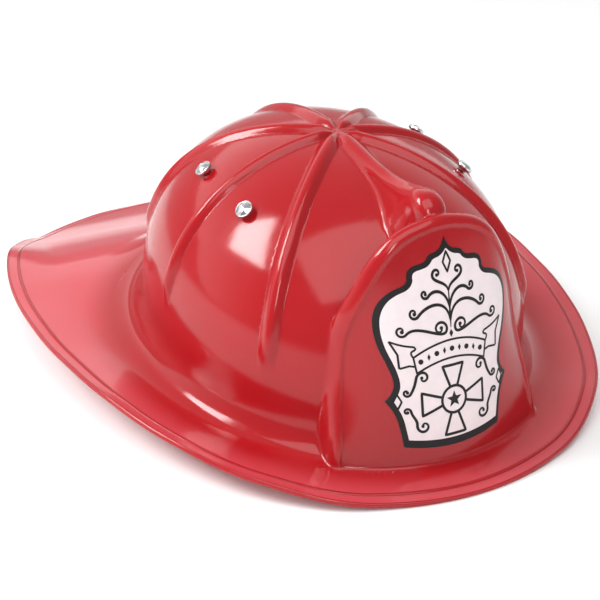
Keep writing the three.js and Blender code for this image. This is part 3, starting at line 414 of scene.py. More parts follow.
def fin_field(x, y, z):
    station = np.clip(y, -98, 0)
    crest, top, base = fin_crest(station), fin_top(station), fin_base(station)
    base_z = dome_z(np.minimum(0.9, np.abs(station) / DOME_HALF_Y)) - 4
    span = np.maximum(crest - 3.2 - base_z, 1.5)
    width = lerp(base, top, np.clip((z - base_z) / span, 0, 1.6))
    slope = (top - base) / span
    field = smax((np.abs(x) - width) / np.sqrt(1 + slope * slope), z - crest, 4.6)
    field = smax(field, FIN_FRONT_Y - y, 3.5)
    field = smax(field, y - FIN_REAR_Y, 4.0)
    along = (y - KNOB_Y) / KNOB_STRETCH
    knob = np.sqrt(x * x + along ** 2 + (z - KNOB_Z) ** 2) - KNOB_RADIUS
    return smin(field, knob, 4.5)


def outer_field(points):
    """Distance outside the helmet's outer skin, and outside the brim's outline."""
    x, y, z = points.T
    brim, outside = brim_field(x, y, z)
    field = smin(dome_field(x, y, z), brim, 2.4)
    near = (y < 8) & (np.abs(x) < 66) & (z > -12)
    if near.any():
        place = x[near], y[near], z[near]
        joined = smin(field[near], fin_field(*place), 3.0)
        field[near] = smin(joined, shield_field(*place), 1.3)
    return field, outside


def all_fields(points):
    """The shell's four bounds: outer skin, inner skin, outline and ground."""
    field, outside = outer_field(points)
    height = points[:, 1] * SIN_TIP + points[:, 2] * COS_TIP + LIFT
    return np.stack([field, -(field + WALL), outside, -height])


# ---------------------------------------------------------------- meshing the shell
# One vertex for each crossed grid cell, pulled on to the exact surfaces. A vertex's mark
# has one bit for each of the four bounds that it lies on.
GRID_LOW, GRID_HIGH = np.array([-141.0, -150.0, -40.0]), np.array([141.0, 231.0, 118.0])
BLOCK = 4                                       # grid steps in a block
CHUNK = 400000                                  # points worked out at a time


def sample_grid(step):
    """Grid points of the blocks that the shell may pass, and the fields there."""
    size = np.ceil((GRID_HIGH - GRID_LOW) / step).astype(int)
    size = (size // BLOCK + 1) * BLOCK + 1
    ranges = [np.arange(count) for count in (size - 1) // BLOCK]
    blocks = np.stack(np.meshgrid(*ranges, indexing="ij"), -1).reshape(-1, 3)
    field = all_fields(GRID_LOW + (blocks + 0.5) * BLOCK * step)
    reach = BLOCK * step * 0.95 + 1.2
    near = ((np.abs(field[0] + WALL / 2) < WALL / 2 + reach)
            & (field[2] < reach) & (field[3] < reach))
    mask = np.zeros(size, bool)
    for i, j, k in blocks[near] * BLOCK:
        mask[i:i + BLOCK + 1, j:j + BLOCK + 1, k:k + BLOCK + 1] = True
    nodes = np.argwhere(mask)
    fields = np.empty((4, len(nodes)), np.float32)
    for i in range(0, len(nodes), CHUNK):
        fields[:, i:i + CHUNK] = all_fields(GRID_LOW + nodes[i:i + CHUNK] * step)
    return size, nodes, fields


def cell_mesh(step):
    """Rough vertices, quads, marks and grid cells of the vertices."""
    size, nodes, fields = sample_grid(step)
    inside = np.zeros(size, bool)
    inside[tuple(nodes.T)] = fields.max(0) < 0
    index = np.full(size, -1, np.int32)
    index[tuple(nodes.T)] = np.arange(len(nodes))
    strides = np.array([size[1] * size[2], size[2], 1])
    unit_steps = np.eye(3, dtype=int)
    ids, points, marks, flips = [], [], [], []
    for axis in range(3):
        start = np.argwhere(np.diff(inside, axis=axis))
        end = start + unit_steps[axis]
        at_start, at_end = index[tuple(start.T)], index[tuple(end.T)]
        known = (at_start >= 0) & (at_end >= 0)
        start, end, at_start, at_end = (a[known] for a in (start, end, at_start, at_end))
        start_in = inside[tuple(start.T)]
        field_in = np.where(start_in, fields[:, at_start], fields[:, at_end])
        field_out = np.where(start_in, fields[:, at_end], fields[:, at_start])
        t = np.where(field_out > 0, -field_in / np.maximum(field_out - field_in, 1e-9), 9.0)
        first_met = t.argmin(0)
        t = clip01(t.min(0))
        inner = np.where(start_in[:, None], start, end)
        outer = np.where(start_in[:, None], end, start)
        crossing = GRID_LOW + (inner + (outer - inner) * t[:, None]) * step
        side_u, side_v = unit_steps[(axis + 1) % 3], unit_steps[(axis + 2) % 3]
        for move_u, move_v in ((0, 0), (-1, 0), (-1, -1), (0, -1)):
            ids.append((start + move_u * side_u + move_v * side_v) @ strides)
            points.append(crossing)
            marks.append(1 << first_met)
        flips.append(~start_in)
    ends = np.cumsum([4 * len(flip) for flip in flips])
    ids, points, marks = np.concatenate(ids), np.concatenate(points), np.concatenate(marks)

    # where both skins pass through one cell it gets a vertex for each of them
    cells, inverse = np.unique(ids, return_inverse=True)
    cell_marks = np.zeros(len(cells), int)
    np.bitwise_or.at(cell_marks, inverse, marks)
    ids = ids * 2 + ((cell_marks == 3)[inverse] & (marks == 2))
    quads = np.concatenate([part.reshape(4, -1).T for part in np.split(ids, ends[:-1])])
    flip = np.concatenate(flips)
    quads[flip] = quads[flip][:, ::-1]

    found, inverse = np.unique(ids, return_inverse=True)
    count = np.bincount(inverse)
    verts = np.stack([np.bincount(inverse, points[:, k]) / count for k in range(3)], 1)
    vert_marks = np.zeros(len(found), int)
    np.bitwise_or.at(vert_marks, inverse, marks)
    cell = found // 2
    cells = np.stack([cell // strides[0], (cell // strides[1]) % size[1], cell % size[2]], 1)
    return verts, np.searchsorted(found, quads), vert_marks, cells


def pull_on(points, marks, step, rounds, limits=None):
    """Newton steps on to the surfaces that each vertex is marked for."""
    gap = 0.03
    for _ in range(rounds):
        value = all_fields(points)
        slopes = np.empty((len(points), 4, 3))
        for k in range(3):
            moved = points.copy()
            moved[:, k] += gap
            slopes[:, :, k] = ((all_fields(moved) - value) / gap).T
        value = value.T
        used = ((marks[:, None] >> np.arange(4)) & 1).astype(float)
        # marked for both skins: keep only the nearer one
        both = (used[:, 0] > 0) & (used[:, 1] > 0)
        nearer = np.abs(value[:, 0]) < np.abs(value[:, 1])
        used[both & nearer, 1] = 0
        used[both & ~nearer, 0] = 0
        slopes = slopes * used[:, :, None]
        turned = slopes.transpose(0, 2, 1)
        system = slopes @ turned + 1e-4 * np.eye(4)
        weights = np.linalg.solve(system, (value * used)[:, :, None])
        move = -(turned @ weights)[:, :, 0]
        length = np.linalg.norm(move, axis=1, keepdims=True)
        move *= np.minimum(1, 0.8 * step / np.maximum(length, 1e-9))
        points = points + move
        if limits:
            points = np.clip(points, *limits)
    return points


def build_shell(step, relax_rounds):
    verts, quads, marks, cells = cell_mesh(step)
    limits = (GRID_LOW + cells * step - 0.35 * step, GRID_LOW + (cells + 1) * step + 0.35 * step)
    verts = pull_on(verts, marks, step, 4, limits)

    # even the mesh out; a vertex follows only neighbours on all of its own surfaces
    edges = np.concatenate([quads[:, [k, (k + 1) % 4]] for k in range(4)])
    first, last = np.unique(np.sort(edges, 1), axis=0).T
    shared = marks[first] & marks[last]
    ahead, back = shared == marks[first], shared == marks[last]
    source = np.concatenate([first[ahead], last[back]])
    target = np.concatenate([last[ahead], first[back]])
    count = np.bincount(source, minlength=len(verts))
    surfaces = np.array([bin(mark).count("1") for mark in range(16)])[marks]
    free = (count >= 2) & (surfaces <= 2)
    for _ in range(relax_rounds):
        total = np.stack([np.bincount(source, verts[target, k], minlength=len(verts))
                          for k in range(3)], 1)
        verts[free] = verts[free] * 0.45 + 0.55 * total[free] / count[free, None]
        verts = pull_on(verts, marks, step, 1)
    return pull_on(verts, marks, step, 1), quads


def part_labels(quads, count):
    """Label the vertices by connected part."""
    labels = np.arange(count)
    while True:
        lowest = labels[quads].min(1)
        new = labels.copy()
        for k in range(4):
            np.minimum.at(new, quads[:, k], lowest)
        new = new[new]
        if (new == labels).all():
            return labels
        labels = new


# ---------------------------------------------------------------- objects
def shade_smooth(mesh):
    mesh.polygons.foreach_set("use_smooth", [True] * len(mesh.polygons))


def link_object(name, mesh):
    made = bpy.data.objects.new(name, mesh)
    bpy.context.scene.collection.objects.link(made)
    return made


def new_object(name, verts, faces, rounded=True):
    mesh = bpy.data.meshes.new(name)
    mesh.from_pydata([tuple(v) for v in verts], [], [tuple(f) for f in faces])
    mesh.update()
    if rounded:
        shade_smooth(mesh)
    return link_object(name, mesh)


def closed_object(name, verts, faces, rounded=True, weld=None):
    """Object whose faces are turned outwards, with close vertices welded if asked."""
    made = new_object(name, verts, faces, rounded)
    work = bmesh.new()
    work.from_mesh(made.data)
    if weld:
        bmesh.ops.remove_doubles(work, verts=work.verts, dist=weld)
    bmesh.ops.recalc_face_normals(work, faces=work.faces)
    work.to_mesh(made.data)
    work.free()
    return made


def set_exact_normals(mesh, points):
    """Take normals from the field on both skins, and from the faces at their edges."""
    field = outer_field(points)[0]
    exact = np.empty_like(points)
    for k in range(3):
        ahead, behind = points.copy(), points.copy()
        ahead[:, k] += 0.05
        behind[:, k] -= 0.05
        exact[:, k] = (outer_field(ahead)[0] - outer_field(behind)[0]) / 0.1
    exact /= np.maximum(np.linalg.norm(exact, axis=1, keepdims=True), 1e-9)
    exact = turn_to_row(exact)
    normals = np.empty(len(points) * 3, np.float32)
    mesh.vertices.foreach_get("normal", normals)
    normals = normals.reshape(-1, 3).astype(float)
    agree = (exact * normals).sum(1)
    outer = (np.abs(field) < 0.03) & (agree > 0.75)
    inner = (np.abs(field + WALL) < 0.03) & (agree < -0.75)
    normals[outer] = exact[outer]
    normals[inner] = -exact[inner]
    mesh.normals_split_custom_set_from_vertices(normals.astype(np.float32))


def mark_painted_brim_light(mesh, points):
    """Store how far the sheet stands free of the dome, as a mask for painted light: the brim's
    colour is made lighter there, as if lit more brightly.
    """
    x, y, z = points.T
    radius = np.hypot(x, y)
    # painted light: 1 where the brim stands free of the dome, where red_gloss lightens the colour
    thin = smooth(13.0, 34.0, radius - dome_radius(x, y, radius)) * (z < 12)
    layer = mesh.attributes.new("thin", "FLOAT", "POINT")
    layer.data.foreach_set("value", thin.astype(np.float32))


def shell_object():
    verts, quads = build_shell(step=1.15, relax_rounds=3)
    labels = part_labels(quads, len(verts))
    used = labels == np.bincount(labels).argmax()
    renumber = np.cumsum(used) - 1
    quads = renumber[quads[used[quads[:, 0]]]]
    verts = verts[used]
    mesh = bpy.data.meshes.new("shell_fine")
    mesh.vertices.add(len(verts))
    mesh.vertices.foreach_set("co", to_row(verts).astype(np.float32).ravel())
    mesh.loops.add(len(quads) * 4)
    mesh.loops.foreach_set("vertex_index", quads.astype(np.int32).ravel())
    mesh.polygons.add(len(quads))
    starts = np.arange(0, len(quads) * 4, 4, dtype=np.int32)
    mesh.polygons.foreach_set("loop_start", starts)
    mesh.polygons.foreach_set("loop_total", np.full(len(quads), 4, np.int32))
    mesh.update(calc_edges=True)
    mesh.validate()
    shade_smooth(mesh)
    placed = np.empty(len(mesh.vertices) * 3, np.float32)
    mesh.vertices.foreach_get("co", placed)
    points = from_row(placed.reshape(-1, 3).astype(float))
    set_exact_normals(mesh, points)
    mark_painted_brim_light(mesh, points)
    return link_object("shell_fine", mesh)


# ---------------------------------------------------------------- material helpers
def wire(tree, target, inputs):
    """Set a node's inputs, given by name or number; sockets are linked."""
    for key, value in inputs.items():
        if isinstance(value, bpy.types.NodeSocket):
            tree.links.new(value, target.inputs[key])
        else:
            target.inputs[key].default_value = value


def add_node(tree, kind, inputs, **settings):
    made = tree.nodes.new("ShaderNode" + kind)
    for key, value in settings.items():
        setattr(made, key, value)
    wire(tree, made, inputs)
    return made


def blank_material(name, shader_kind):
    made = bpy.data.materials.new(name)
    made.use_nodes = True
    tree = made.node_tree
    tree.nodes.clear()
    output = tree.nodes.new("ShaderNodeOutputMaterial")
    shader = add_node(tree, shader_kind, {})
    tree.links.new(shader.outputs[0], output.inputs[0])
    return made, tree, shader


def material(name):
    """Principled material, its tree, its shader and its object coordinates."""
    made, tree, shader = blank_material(name, "BsdfPrincipled")
    return made, tree, shader, add_node(tree, "TexCoord", {}).outputs["Object"]


def noise(tree, coords, scale, detail=3, rough=0.5, stretch=None):
    if stretch:
        coords = add_node(tree, "Mapping", {0: coords, "Scale": stretch}).outputs[0]
    return add_node(tree, "TexNoise", {"Scale": scale, "Detail": detail, "Roughness": rough,
                                       "Vector": coords}).outputs["Fac"]


def ramp(tree, source, stops):
    """Colour ramp through two (position, rgb) stops."""
    made = add_node(tree, "ValToRGB", {0: source})
    for element, (position, color) in zip(made.color_ramp.elements, stops):
        element.position = position
        element.color = (*color, 1)
    return made.outputs[0]


def grey(value):
    return (value, value, value)


def bump(tree, height, strength, distance, below=None):
    inputs = {"Strength": strength, "Distance": distance, "Height": height}
    if below:
        inputs["Normal"] = below
    return add_node(tree, "Bump", inputs).outputs[0]


# ---------------------------------------------------------------- materials
def red_gloss():
    made, tree, shader, coords = material("red_gloss")
    tint = ramp(tree, noise(tree, coords, scale=9, detail=2),
                [(0.3, (0.350, 0.0058, 0.0092)), (0.7, (0.388, 0.0072, 0.0110))])
    # painted light: the "thin" mask mixes a lighter red into the brim, standing in for light
    # shining through and onto it
    thin = add_node(tree, "Attribute", {}, attribute_name="thin").outputs["Fac"]
    painted_light_brim_red = (0.53, 0.055, 0.070, 1)
    color = add_node(tree, "Mix", {0: thin, 6: tint, 7: painted_light_brim_red}, data_type="RGBA")
    # hairline scuffs and dust change the gloss a little
    scuffs = noise(tree, coords, scale=60, detail=4, rough=0.6, stretch=(1, 14, 1))
    dust = noise(tree, coords, scale=900, detail=2)
    worn = add_node(tree, "Math", {0: scuffs, 1: dust}, operation="MULTIPLY").outputs[0]
    rough = ramp(tree, worn, [(0.18, grey(0.10)), (0.42, grey(0.20))])
    waves = bump(tree, noise(tree, coords, scale=26, detail=2), strength=0.10, distance=0.0012)
    grain = bump(tree, noise(tree, coords, scale=420), strength=0.05, distance=0.00012,
                 below=waves)
    wire(tree, shader, {
        "Base Color": color.outputs[2], "Roughness": rough, "IOR": 1.46,
        "Subsurface Weight": 0.4, "Subsurface Radius": (1.0, 0.12, 0.10),
        "Subsurface Scale": 0.007, "Normal": grain})
    return made


def plain(name, color, rough, grain_scale, strength, distance, vary=0.15, metal=0.0,
          specular=0.5, stretch=None):
    """Slightly mottled colour with a fine grain in its gloss and height."""
    made, tree, shader, coords = material(name)
    dark = tuple(c * (1 - vary) for c in color)
    light = tuple(min(1, c * (1 + vary)) for c in color)
    mottle = noise(tree, coords, grain_scale * 0.15)
    tint = ramp(tree, mottle, [(0.3, dark), (0.7, light)])
    grain = noise(tree, coords, grain_scale, rough=0.6, stretch=stretch)
    gloss = ramp(tree, grain, [(0.25, grey(max(0.02, rough * 0.8))),
                               (0.75, grey(min(1, rough * 1.25)))])
    wire(tree, shader, {
        "Base Color": tint, "Roughness": gloss, "Metallic": metal,
        "Specular IOR Level": specular, "Normal": bump(tree, grain, strength, distance)})
    return made


def woven(name, color):
    """Tape with crossing ribs."""
    made, tree, shader, coords = material(name)
    ribs = []
    for degrees in (38.0, -38.0):
        turned = add_node(tree, "Mapping", {0: coords, "Rotation": (0, 0, math.radians(degrees))})
        wave = add_node(tree, "TexWave", {"Scale": 210, "Distortion": 0.4,
                                          "Vector": turned.outputs[0]})
        ribs.append(wave.outputs["Fac"])
    weave = add_node(tree, "Math", {0: ribs[0], 1: ribs[1]}, operation="MULTIPLY").outputs[0]
    fuzz = noise(tree, coords, scale=1500)
    tint = ramp(tree, weave, [(0.0, tuple(c * 0.45 for c in color)), (0.8, color)])
    relief = bump(tree, weave, strength=0.6, distance=0.0004)
    relief = bump(tree, fuzz, strength=0.3, distance=0.0001, below=relief)
    wire(tree, shader, {"Base Color": tint, "Roughness": 0.85, "Sheen Weight": 0.3,
                        "Normal": relief})
    return made


# looks: (slot, material)
RED = ("shell_red", red_gloss())
BADGE_WHITE = ("badge_print", plain(
    "badge_white", (0.80, 0.70, 0.715), rough=0.42, grain_scale=1400, strength=0.05,
    distance=0.00005, vary=0.03))
BADGE_BLACK = ("badge_print", plain(
    "badge_black", (0.010, 0.008, 0.009), rough=0.38, grain_scale=1400, strength=0.08,
    distance=0.00005, vary=0.2, specular=0.28))
BRIGHT_STEEL = ("bright_steel", plain(
    "bright_steel", (0.62, 0.62, 0.64), rough=0.16, metal=1.0, grain_scale=500,
    strength=0.35, distance=0.0002, vary=0.1))
WASHER_STEEL = ("washer_steel", plain(
    "washer_steel", (0.42, 0.42, 0.44), rough=0.35, metal=1.0, grain_scale=900,
    strength=0.2, distance=0.0001, stretch=(1, 1, 9)))
BAND = ("band_plastic", plain(
    "band_plastic", (0.022, 0.022, 0.025), rough=0.5, grain_scale=1800, strength=0.35,
    distance=0.0001, vary=0.2))
WEBBING = ("webbing", woven("webbing", (0.045, 0.046, 0.055)))
PAD = ("sweat_pad", plain(
    "sweat_pad", (0.05, 0.05, 0.056), rough=0.95, grain_scale=1300, strength=0.8,
    distance=0.0004, vary=0.35, specular=0.2))


def fit(piece, look, replaced=None, body="helmet"):
    """Give a piece its material and body, and say which CAD piece it replaces."""
    slot, mat = look
    piece.data.materials.clear()
    piece.data.materials.append(mat)
    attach(piece, body)
    if replaced:
        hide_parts(replaced)


fit(shell_object(), RED, "shell")


# ---------------------------------------------------------------- brim's roll and bead
def round_brim(name, section, inset, count=900):
    """Sweep a closed (outwards, up) section round the brim, inset from its outline."""
    turn = np.linspace(0, 2 * math.pi, count, endpoint=False)
    phi = np.arctan2(np.sin(turn), np.cos(turn))
    edge = edge_at(phi)[0]
    line = np.stack([edge * np.sin(phi), -edge * np.cos(phi)], 1)
    tangent = np.roll(line, -1, 0) - np.roll(line, 1, 0)
    tangent /= np.linalg.norm(tangent, axis=1, keepdims=True)
    outward = np.stack([tangent[:, 1], -tangent[:, 0]], 1)
    outward *= np.sign((outward * line).sum(1, keepdims=True))
    base = line - outward * inset
    base_z = brim_top(*base.T)
    gap = 1.5
    slope = (base_z - brim_top(*(base - outward * gap).T)) / gap
    cosine, sine = 1 / np.sqrt(1 + slope ** 2), slope / np.sqrt(1 + slope ** 2)
    size = len(section)
    verts = np.zeros((count, size, 3))
    for j, (out, up) in enumerate(section):
        verts[:, j, :2] = base + outward * (out * cosine - up * sine)[:, None]
        verts[:, j, 2] = base_z + (out * sine + up * cosine)
    verts = to_row(verts.reshape(-1, 3))
    verts[:, 2] = np.maximum(verts[:, 2], 0.00004)      # keeps clear of the floor
    faces = []
    for i in range(count):
        here, ahead = i * size, (i + 1) % count * size
        for j in range(size):
            k = (j + 1) % size
            faces.append((here + j, here + k, ahead + k, ahead + j))
    return closed_object(name, verts, faces)


def rounded_box(left, right, low, high, radius, steps=6):
    points = []
    for x, y, start in ((right - radius, high - radius, 0), (left + radius, high - radius, 90),
                        (left + radius, low + radius, 180), (right - radius, low + radius, 270)):
        for i in range(steps + 1):
            angle = math.radians(start + 90 * i / steps)
            points.append((x + radius * math.cos(angle), y + radius * math.sin(angle)))
    return points


ROLL_SECTION = rounded_box(left=-1.5, right=0.25, low=-WALL - 0.06, high=0.06, radius=0.75)
BEAD_SECTION = [(0.85 * math.cos(a), 0.42 * math.sin(a) - 0.08)
                for a in np.linspace(0, 2 * math.pi, 14, endpoint=False)]
fit(round_brim("shell_rim_roll", ROLL_SECTION, inset=0.0), RED)
fit(round_brim("shell_bead", BEAD_SECTION, inset=FLANGE_WIDTH), RED)


# ---------------------------------------------------------------- rivets and washers
RIVET_RHO, RIVET_DEGREES = 0.667, 68.6
# the layers behind a rivet, as depths under the outer skin
TAB_DEPTH = WALL + 0.65
CROWN_DEPTH = TAB_DEPTH + 1.3
WASHER_DEPTH = CROWN_DEPTH + 1.3
WASHER_THICKNESS = 0.9
WASHER_BACK = WASHER_DEPTH + WASHER_THICKNESS
TAIL_DEPTH = WASHER_BACK + 0.2
CAP_TOP = 4.75
# flats hammered on the cap: (distance from its axis, how many, tilt)
FLATS = ((0.0, 1, 0.0), (1.5, 5, 0.30), (2.9, 8, 0.52))


def lathe(name, profile, origin, axis, segments, shape=None):
    """Turn a closed (radius, along) profile round an axis; shape may alter each point."""
    axis = np.asarray(axis, float) / np.linalg.norm(axis)
    side = np.cross(axis, [0, 0, 1.0] if abs(axis[2]) < 0.9 else [1.0, 0, 0])
    side /= np.linalg.norm(side)
    other = np.cross(axis, side)
    verts, faces, rows = [], [], []
    for radius, along in profile:
        if radius < 1e-6:
            rows.append([len(verts)])
            verts.append(origin + axis * along)
            continue
        row = []
        for i in range(segments):
            angle = 2 * math.pi * i / segments
            out, up = shape(radius, along, angle) if shape else (radius, along)
            row.append(len(verts))
            spoke = side * math.cos(angle) + other * math.sin(angle)
            verts.append(origin + spoke * out + axis * up)
        rows.append(row)
    pairs = list(zip(rows, rows[1:]))
    if len(rows[0]) > 1:
        pairs.append((rows[-1], rows[0]))
    for first, last in pairs:
        for i in range(segments):
            j = (i + 1) % segments
            if len(first) == 1 and len(last) > 1:
                faces.append((first[0], last[i], last[j]))
            elif len(last) == 1 and len(first) > 1:
                faces.append((first[i], last[0], first[j]))
            elif len(first) > 1:
                faces.append((first[i], last[i], last[j], first[j]))
    return closed_object(name, to_row(np.array(verts)), faces)


def soften(profile):
    """Cut a profile's corners twice, so that the turned edges are rounded."""
    points = [np.array(point, float) for point in profile]
    for _ in range(2):
        cut = [points[0]]
        for start, end in zip(points, points[1:]):
            t = min(0.25, 0.28 / max(np.linalg.norm(end - start), 1e-6))
            cut += [start + (end - start) * t, end - (end - start) * t]
        cut.append(points[-1])
        points = cut
    return [(max(0.0, float(point[0])), float(point[1])) for point in points]


def hammered(rng):
    """Lathe shape that cuts the crown with rings of small flats; the rim stays round."""
    planes = []
    for ring, count, tilt in FLATS:
        for i in range(count):
            angle = 2 * math.pi * (i + rng.uniform(-0.2, 0.2)) / count
            lean = tilt + rng.uniform(-0.06, 0.06)
            planes.append((math.cos(angle) * math.sin(lean), math.sin(angle) * math.sin(lean),
                           math.cos(lean), ring))

    def shape(radius, along, angle):
        if along < 3.3 or radius > 3.75:
            return radius, along
        x, y = radius * math.cos(angle), radius * math.sin(angle)
        heights = [CAP_TOP - 0.095 * ring * ring
                   + (ring * math.hypot(lean_x, lean_y) - lean_x * x - lean_y * y) / lean_z
                   for lean_x, lean_y, lean_z, ring in planes]
        return radius, max(3.35, min(*heights, CAP_TOP))
    return shape


# (radius, height over the outer skin)
RIVET_PROFILE = [(0, 4.7)] + [(radius, 4.6) for radius in np.linspace(0.3, 3.3, 11)] + soften([
    (3.5, 3.6), (3.75, 3.35), (4.05, 3.6), (4.3, 3.3), (4.3, 2.2), (3.9, 1.7), (2.5, 1.45),
    (2.4, 0.3), (1.6, 0.25), (1.6, -TAIL_DEPTH), (2.5, -TAIL_DEPTH),
    (2.4, -TAIL_DEPTH - 0.7), (1.2, -TAIL_DEPTH - 1.0), (0, -TAIL_DEPTH - 1.05)])
WASHER_PROFILE = soften([
    (1.9, -WASHER_DEPTH), (4.5, -WASHER_DEPTH), (4.6, -WASHER_DEPTH - 0.15),
    (4.6, -WASHER_DEPTH - 0.6), (4.2, -WASHER_BACK), (1.95, -WASHER_BACK),
    (1.9, -WASHER_DEPTH)])[:-1]


def rivets():
    rng = np.random.default_rng(7)
    rear = 180 - RIVET_DEGREES
    for corner, degrees in (("front_left", -RIVET_DEGREES), ("front_right", RIVET_DEGREES),
                            ("rear_left", -rear), ("rear_right", rear)):
        phi = math.radians(degrees)
        site = dome_point(phi, RIVET_RHO), dome_normal(phi, RIVET_RHO)
        rivet = lathe("rivet_fine_" + corner, RIVET_PROFILE, *site, 56, hammered(rng))
        fit(rivet, BRIGHT_STEEL, "rivet_" + corner)
        washer = lathe("washer_fine_" + corner, WASHER_PROFILE, *site, 48)
        fit(washer, WASHER_STEEL, "washer_" + corner)


rivets()

# ---------------------------------------------------------------- badge sheets
# Badge drawings are (x, z) in the shield's face.
BADGE_TOP, BADGE_FOOT = 97.2, 8.5
FOOT_BAND_TOP = 10.8                            # below this the rows bend to the curved foot
BADGE_CORNER = (24.5, 10.6)                     # lower corner
BASE_HEIGHT, FACE_HEIGHT, INK_HEIGHT = 0.28, 0.40, 0.52     # proud of the shield
SINK = 0.12                                     # how far each layer reaches into the last
BORDER = 2.1                                    # black left round the white face
FACE_SHIFT_X, FACE_SHIFT_Z = 0.45, 0.1          # the white is printed off centre
FACE_FOOT_RISE = 3.5
# right half of the outline from the top: (control point, end point, points)
BADGE_CURVES = [
    ((1.6, 92.3), (5.6, 91.6), 10), ((7.4, 91.4), (8.6, 90.6), 6),
    ((9.6, 88.2), (13.2, 88.0), 9), ((16.2, 87.8), (18.0, 86.2), 6),
    ((19.2, 84.4), (18.9, 82.4), 6), ((19.6, 80.6), (22.2, 80.0), 7),
    ((31.6, 77.6), (33.6, 68.2), 16), ((34.6, 60.4), (31.0, 51.4), 14),
    ((26.6, 41.6), (27.3, 37.8), 10), ((28.2, 34.2), (31.4, 31.4), 8),
    ((27.4, 27.0), (26.2, 21.2), 10), ((25.2, 16.0), BADGE_CORNER, 6)]


def curve_chain(start, curves):
    """Point arrays of quadratic curves that follow one another."""
    parts = []
    for control, end, count in curves:
        t = np.linspace(0, 1, count)[:, None]
        parts.append((1 - t) ** 2 * np.array(start) + 2 * t * (1 - t) * np.array(control)
                     + t * t * np.array(end))
        start = end
    return parts


BADGE_HALF = np.concatenate(
    [part[:-1] for part in curve_chain((0.0, BADGE_TOP), BADGE_CURVES)] + [[BADGE_CORNER]])
# z has to fall all the way for the interpolation
BADGE_HALF[:, 1] = np.minimum.accumulate(BADGE_HALF[:, 1] - np.arange(len(BADGE_HALF)) * 1e-5)


def half_width(z):
    return np.interp(-np.asarray(z, float), -BADGE_HALF[:, 1], BADGE_HALF[:, 0])


def eroded(z, floor):
    """Half width of the badge shrunk by the border all round, above its bottom edge."""
    offset = np.linspace(-1, 1, 61) * BORDER
    level = z + offset
    width = np.where(level > BADGE_TOP, -1e3, half_width(np.clip(level, floor, BADGE_TOP)))
    return (width - np.sqrt(np.maximum(0, BORDER * BORDER - offset * offset))).min()


def on_shield(x, z, height):
    """Point at a height over the recessed face; drawings are stretched above z = 64."""
    x, z = np.asarray(x, float), np.asarray(z, float)
    z = z + 0.0934 * np.maximum(0, z - 64)
    return np.stack([x, recessed_y(x, z) - height, z], -1)


def slab(name, half, shift, levels, rise, low, high, columns=44):
    """Closed sheet on the shield, half(z) wide each side of x = shift, foot raised by rise."""
    across = np.linspace(0, 1, columns)
    foot, band_top = BADGE_FOOT + rise, FOOT_BAND_TOP + rise
    verts, faces = [], []
    for height in (high, low):
        for z in levels:
            left, right = shift - half(z), shift + half(z)
            x = left + (right - left) * across
            row_z = np.full(columns, z)
            if z < band_top:
                curved = BADGE_FOOT + 2.1 * (x / BADGE_CORNER[0]) ** 2 + rise
                row_z = lerp(curved, band_top, clip01((z - foot) / (band_top - foot)))
            verts.append(on_shield(x, row_z, height))
    rows = len(levels)
    layer = rows * columns
    for side in range(2):
        for i in range(rows - 1):
            for j in range(columns - 1):
                a = side * layer + i * columns + j
                b, c, d = a + 1, a + columns + 1, a + columns
                faces.append((a, d, c, b) if side else (a, b, c, d))
    ring = (list(range(columns)) + [i * columns + columns - 1 for i in range(1, rows)]
            + [(rows - 1) * columns + j for j in range(columns - 2, -1, -1)]
            + [i * columns for i in range(rows - 2, 0, -1)])
    for a, b in zip(ring, ring[1:] + ring[:1]):
        faces.append((b, a, a + layer, b + layer))
    sheet = closed_object(name, to_row(np.concatenate(verts)), faces, weld=2e-6)
    sheet.data.set_sharp_from_angle(angle=math.radians(45))
    return sheet


def badge_base():
    levels = np.unique(np.concatenate([np.linspace(BADGE_FOOT, BADGE_TOP - 0.01, 150),
                                       BADGE_HALF[:, 1]]))
    base = slab("badge_base", lambda z: float(half_width(max(z, BADGE_CORNER[1]))), 0.0,
                levels, rise=0.0, low=-0.25, high=BASE_HEIGHT)
    fit(base, BADGE_BLACK, "badge")


def badge_face():
    top = BADGE_TOP
    while eroded(top - FACE_SHIFT_Z, BADGE_FOOT) < 0.15:
        top -= 0.1
    levels = np.linspace(BADGE_FOOT + FACE_FOOT_RISE, top, 190)
    face = slab("badge_face", lambda z: max(0.05, eroded(max(z, 13.6) - FACE_SHIFT_Z, 9.0)),
                FACE_SHIFT_X, levels, rise=FACE_FOOT_RISE, low=BASE_HEIGHT - SINK,
                high=FACE_HEIGHT)
    fit(face, BADGE_WHITE)


badge_base()
badge_face()

# ---------------------------------------------------------------- badge ink
INK_PARTS, INK_FACES = [], []
INK_LOW = FACE_HEIGHT - SINK
SIDES = (1, -1)


def ribbon(points, width, closed=False):
    """Raised line of the given width along points."""
    line = np.asarray(points, float)
    count = len(line)
    width = np.full(count, width, float) if np.isscalar(width) else np.asarray(width, float)
    if closed:
        tangent = np.roll(line, -1, 0) - np.roll(line, 1, 0)
    else:
        tangent = np.gradient(line, axis=0)
    tangent /= np.maximum(np.linalg.norm(tangent, axis=1, keepdims=True), 1e-9)
    normal = np.stack([-tangent[:, 1], tangent[:, 0]], 1)
    left, right = line + normal * width[:, None] / 2, line - normal * width[:, None] / 2
    base = sum(len(part) for part in INK_PARTS)
    for side, height in ((left, INK_LOW), (left, INK_HEIGHT), (right, INK_HEIGHT),
                         (right, INK_LOW)):
        INK_PARTS.append(on_shield(side[:, 0], side[:, 1], height))
    for i in range(count if closed else count - 1):
        j = (i + 1) % count
        for k in range(4):
            here, there = base + k * count, base + (k + 1) % 4 * count
            INK_FACES.append((here + i, here + j, there + j, there + i))
    if not closed:
        INK_FACES.append(tuple(base + k * count for k in range(4)))
        INK_FACES.append(tuple(base + k * count + count - 1 for k in (3, 2, 1, 0)))


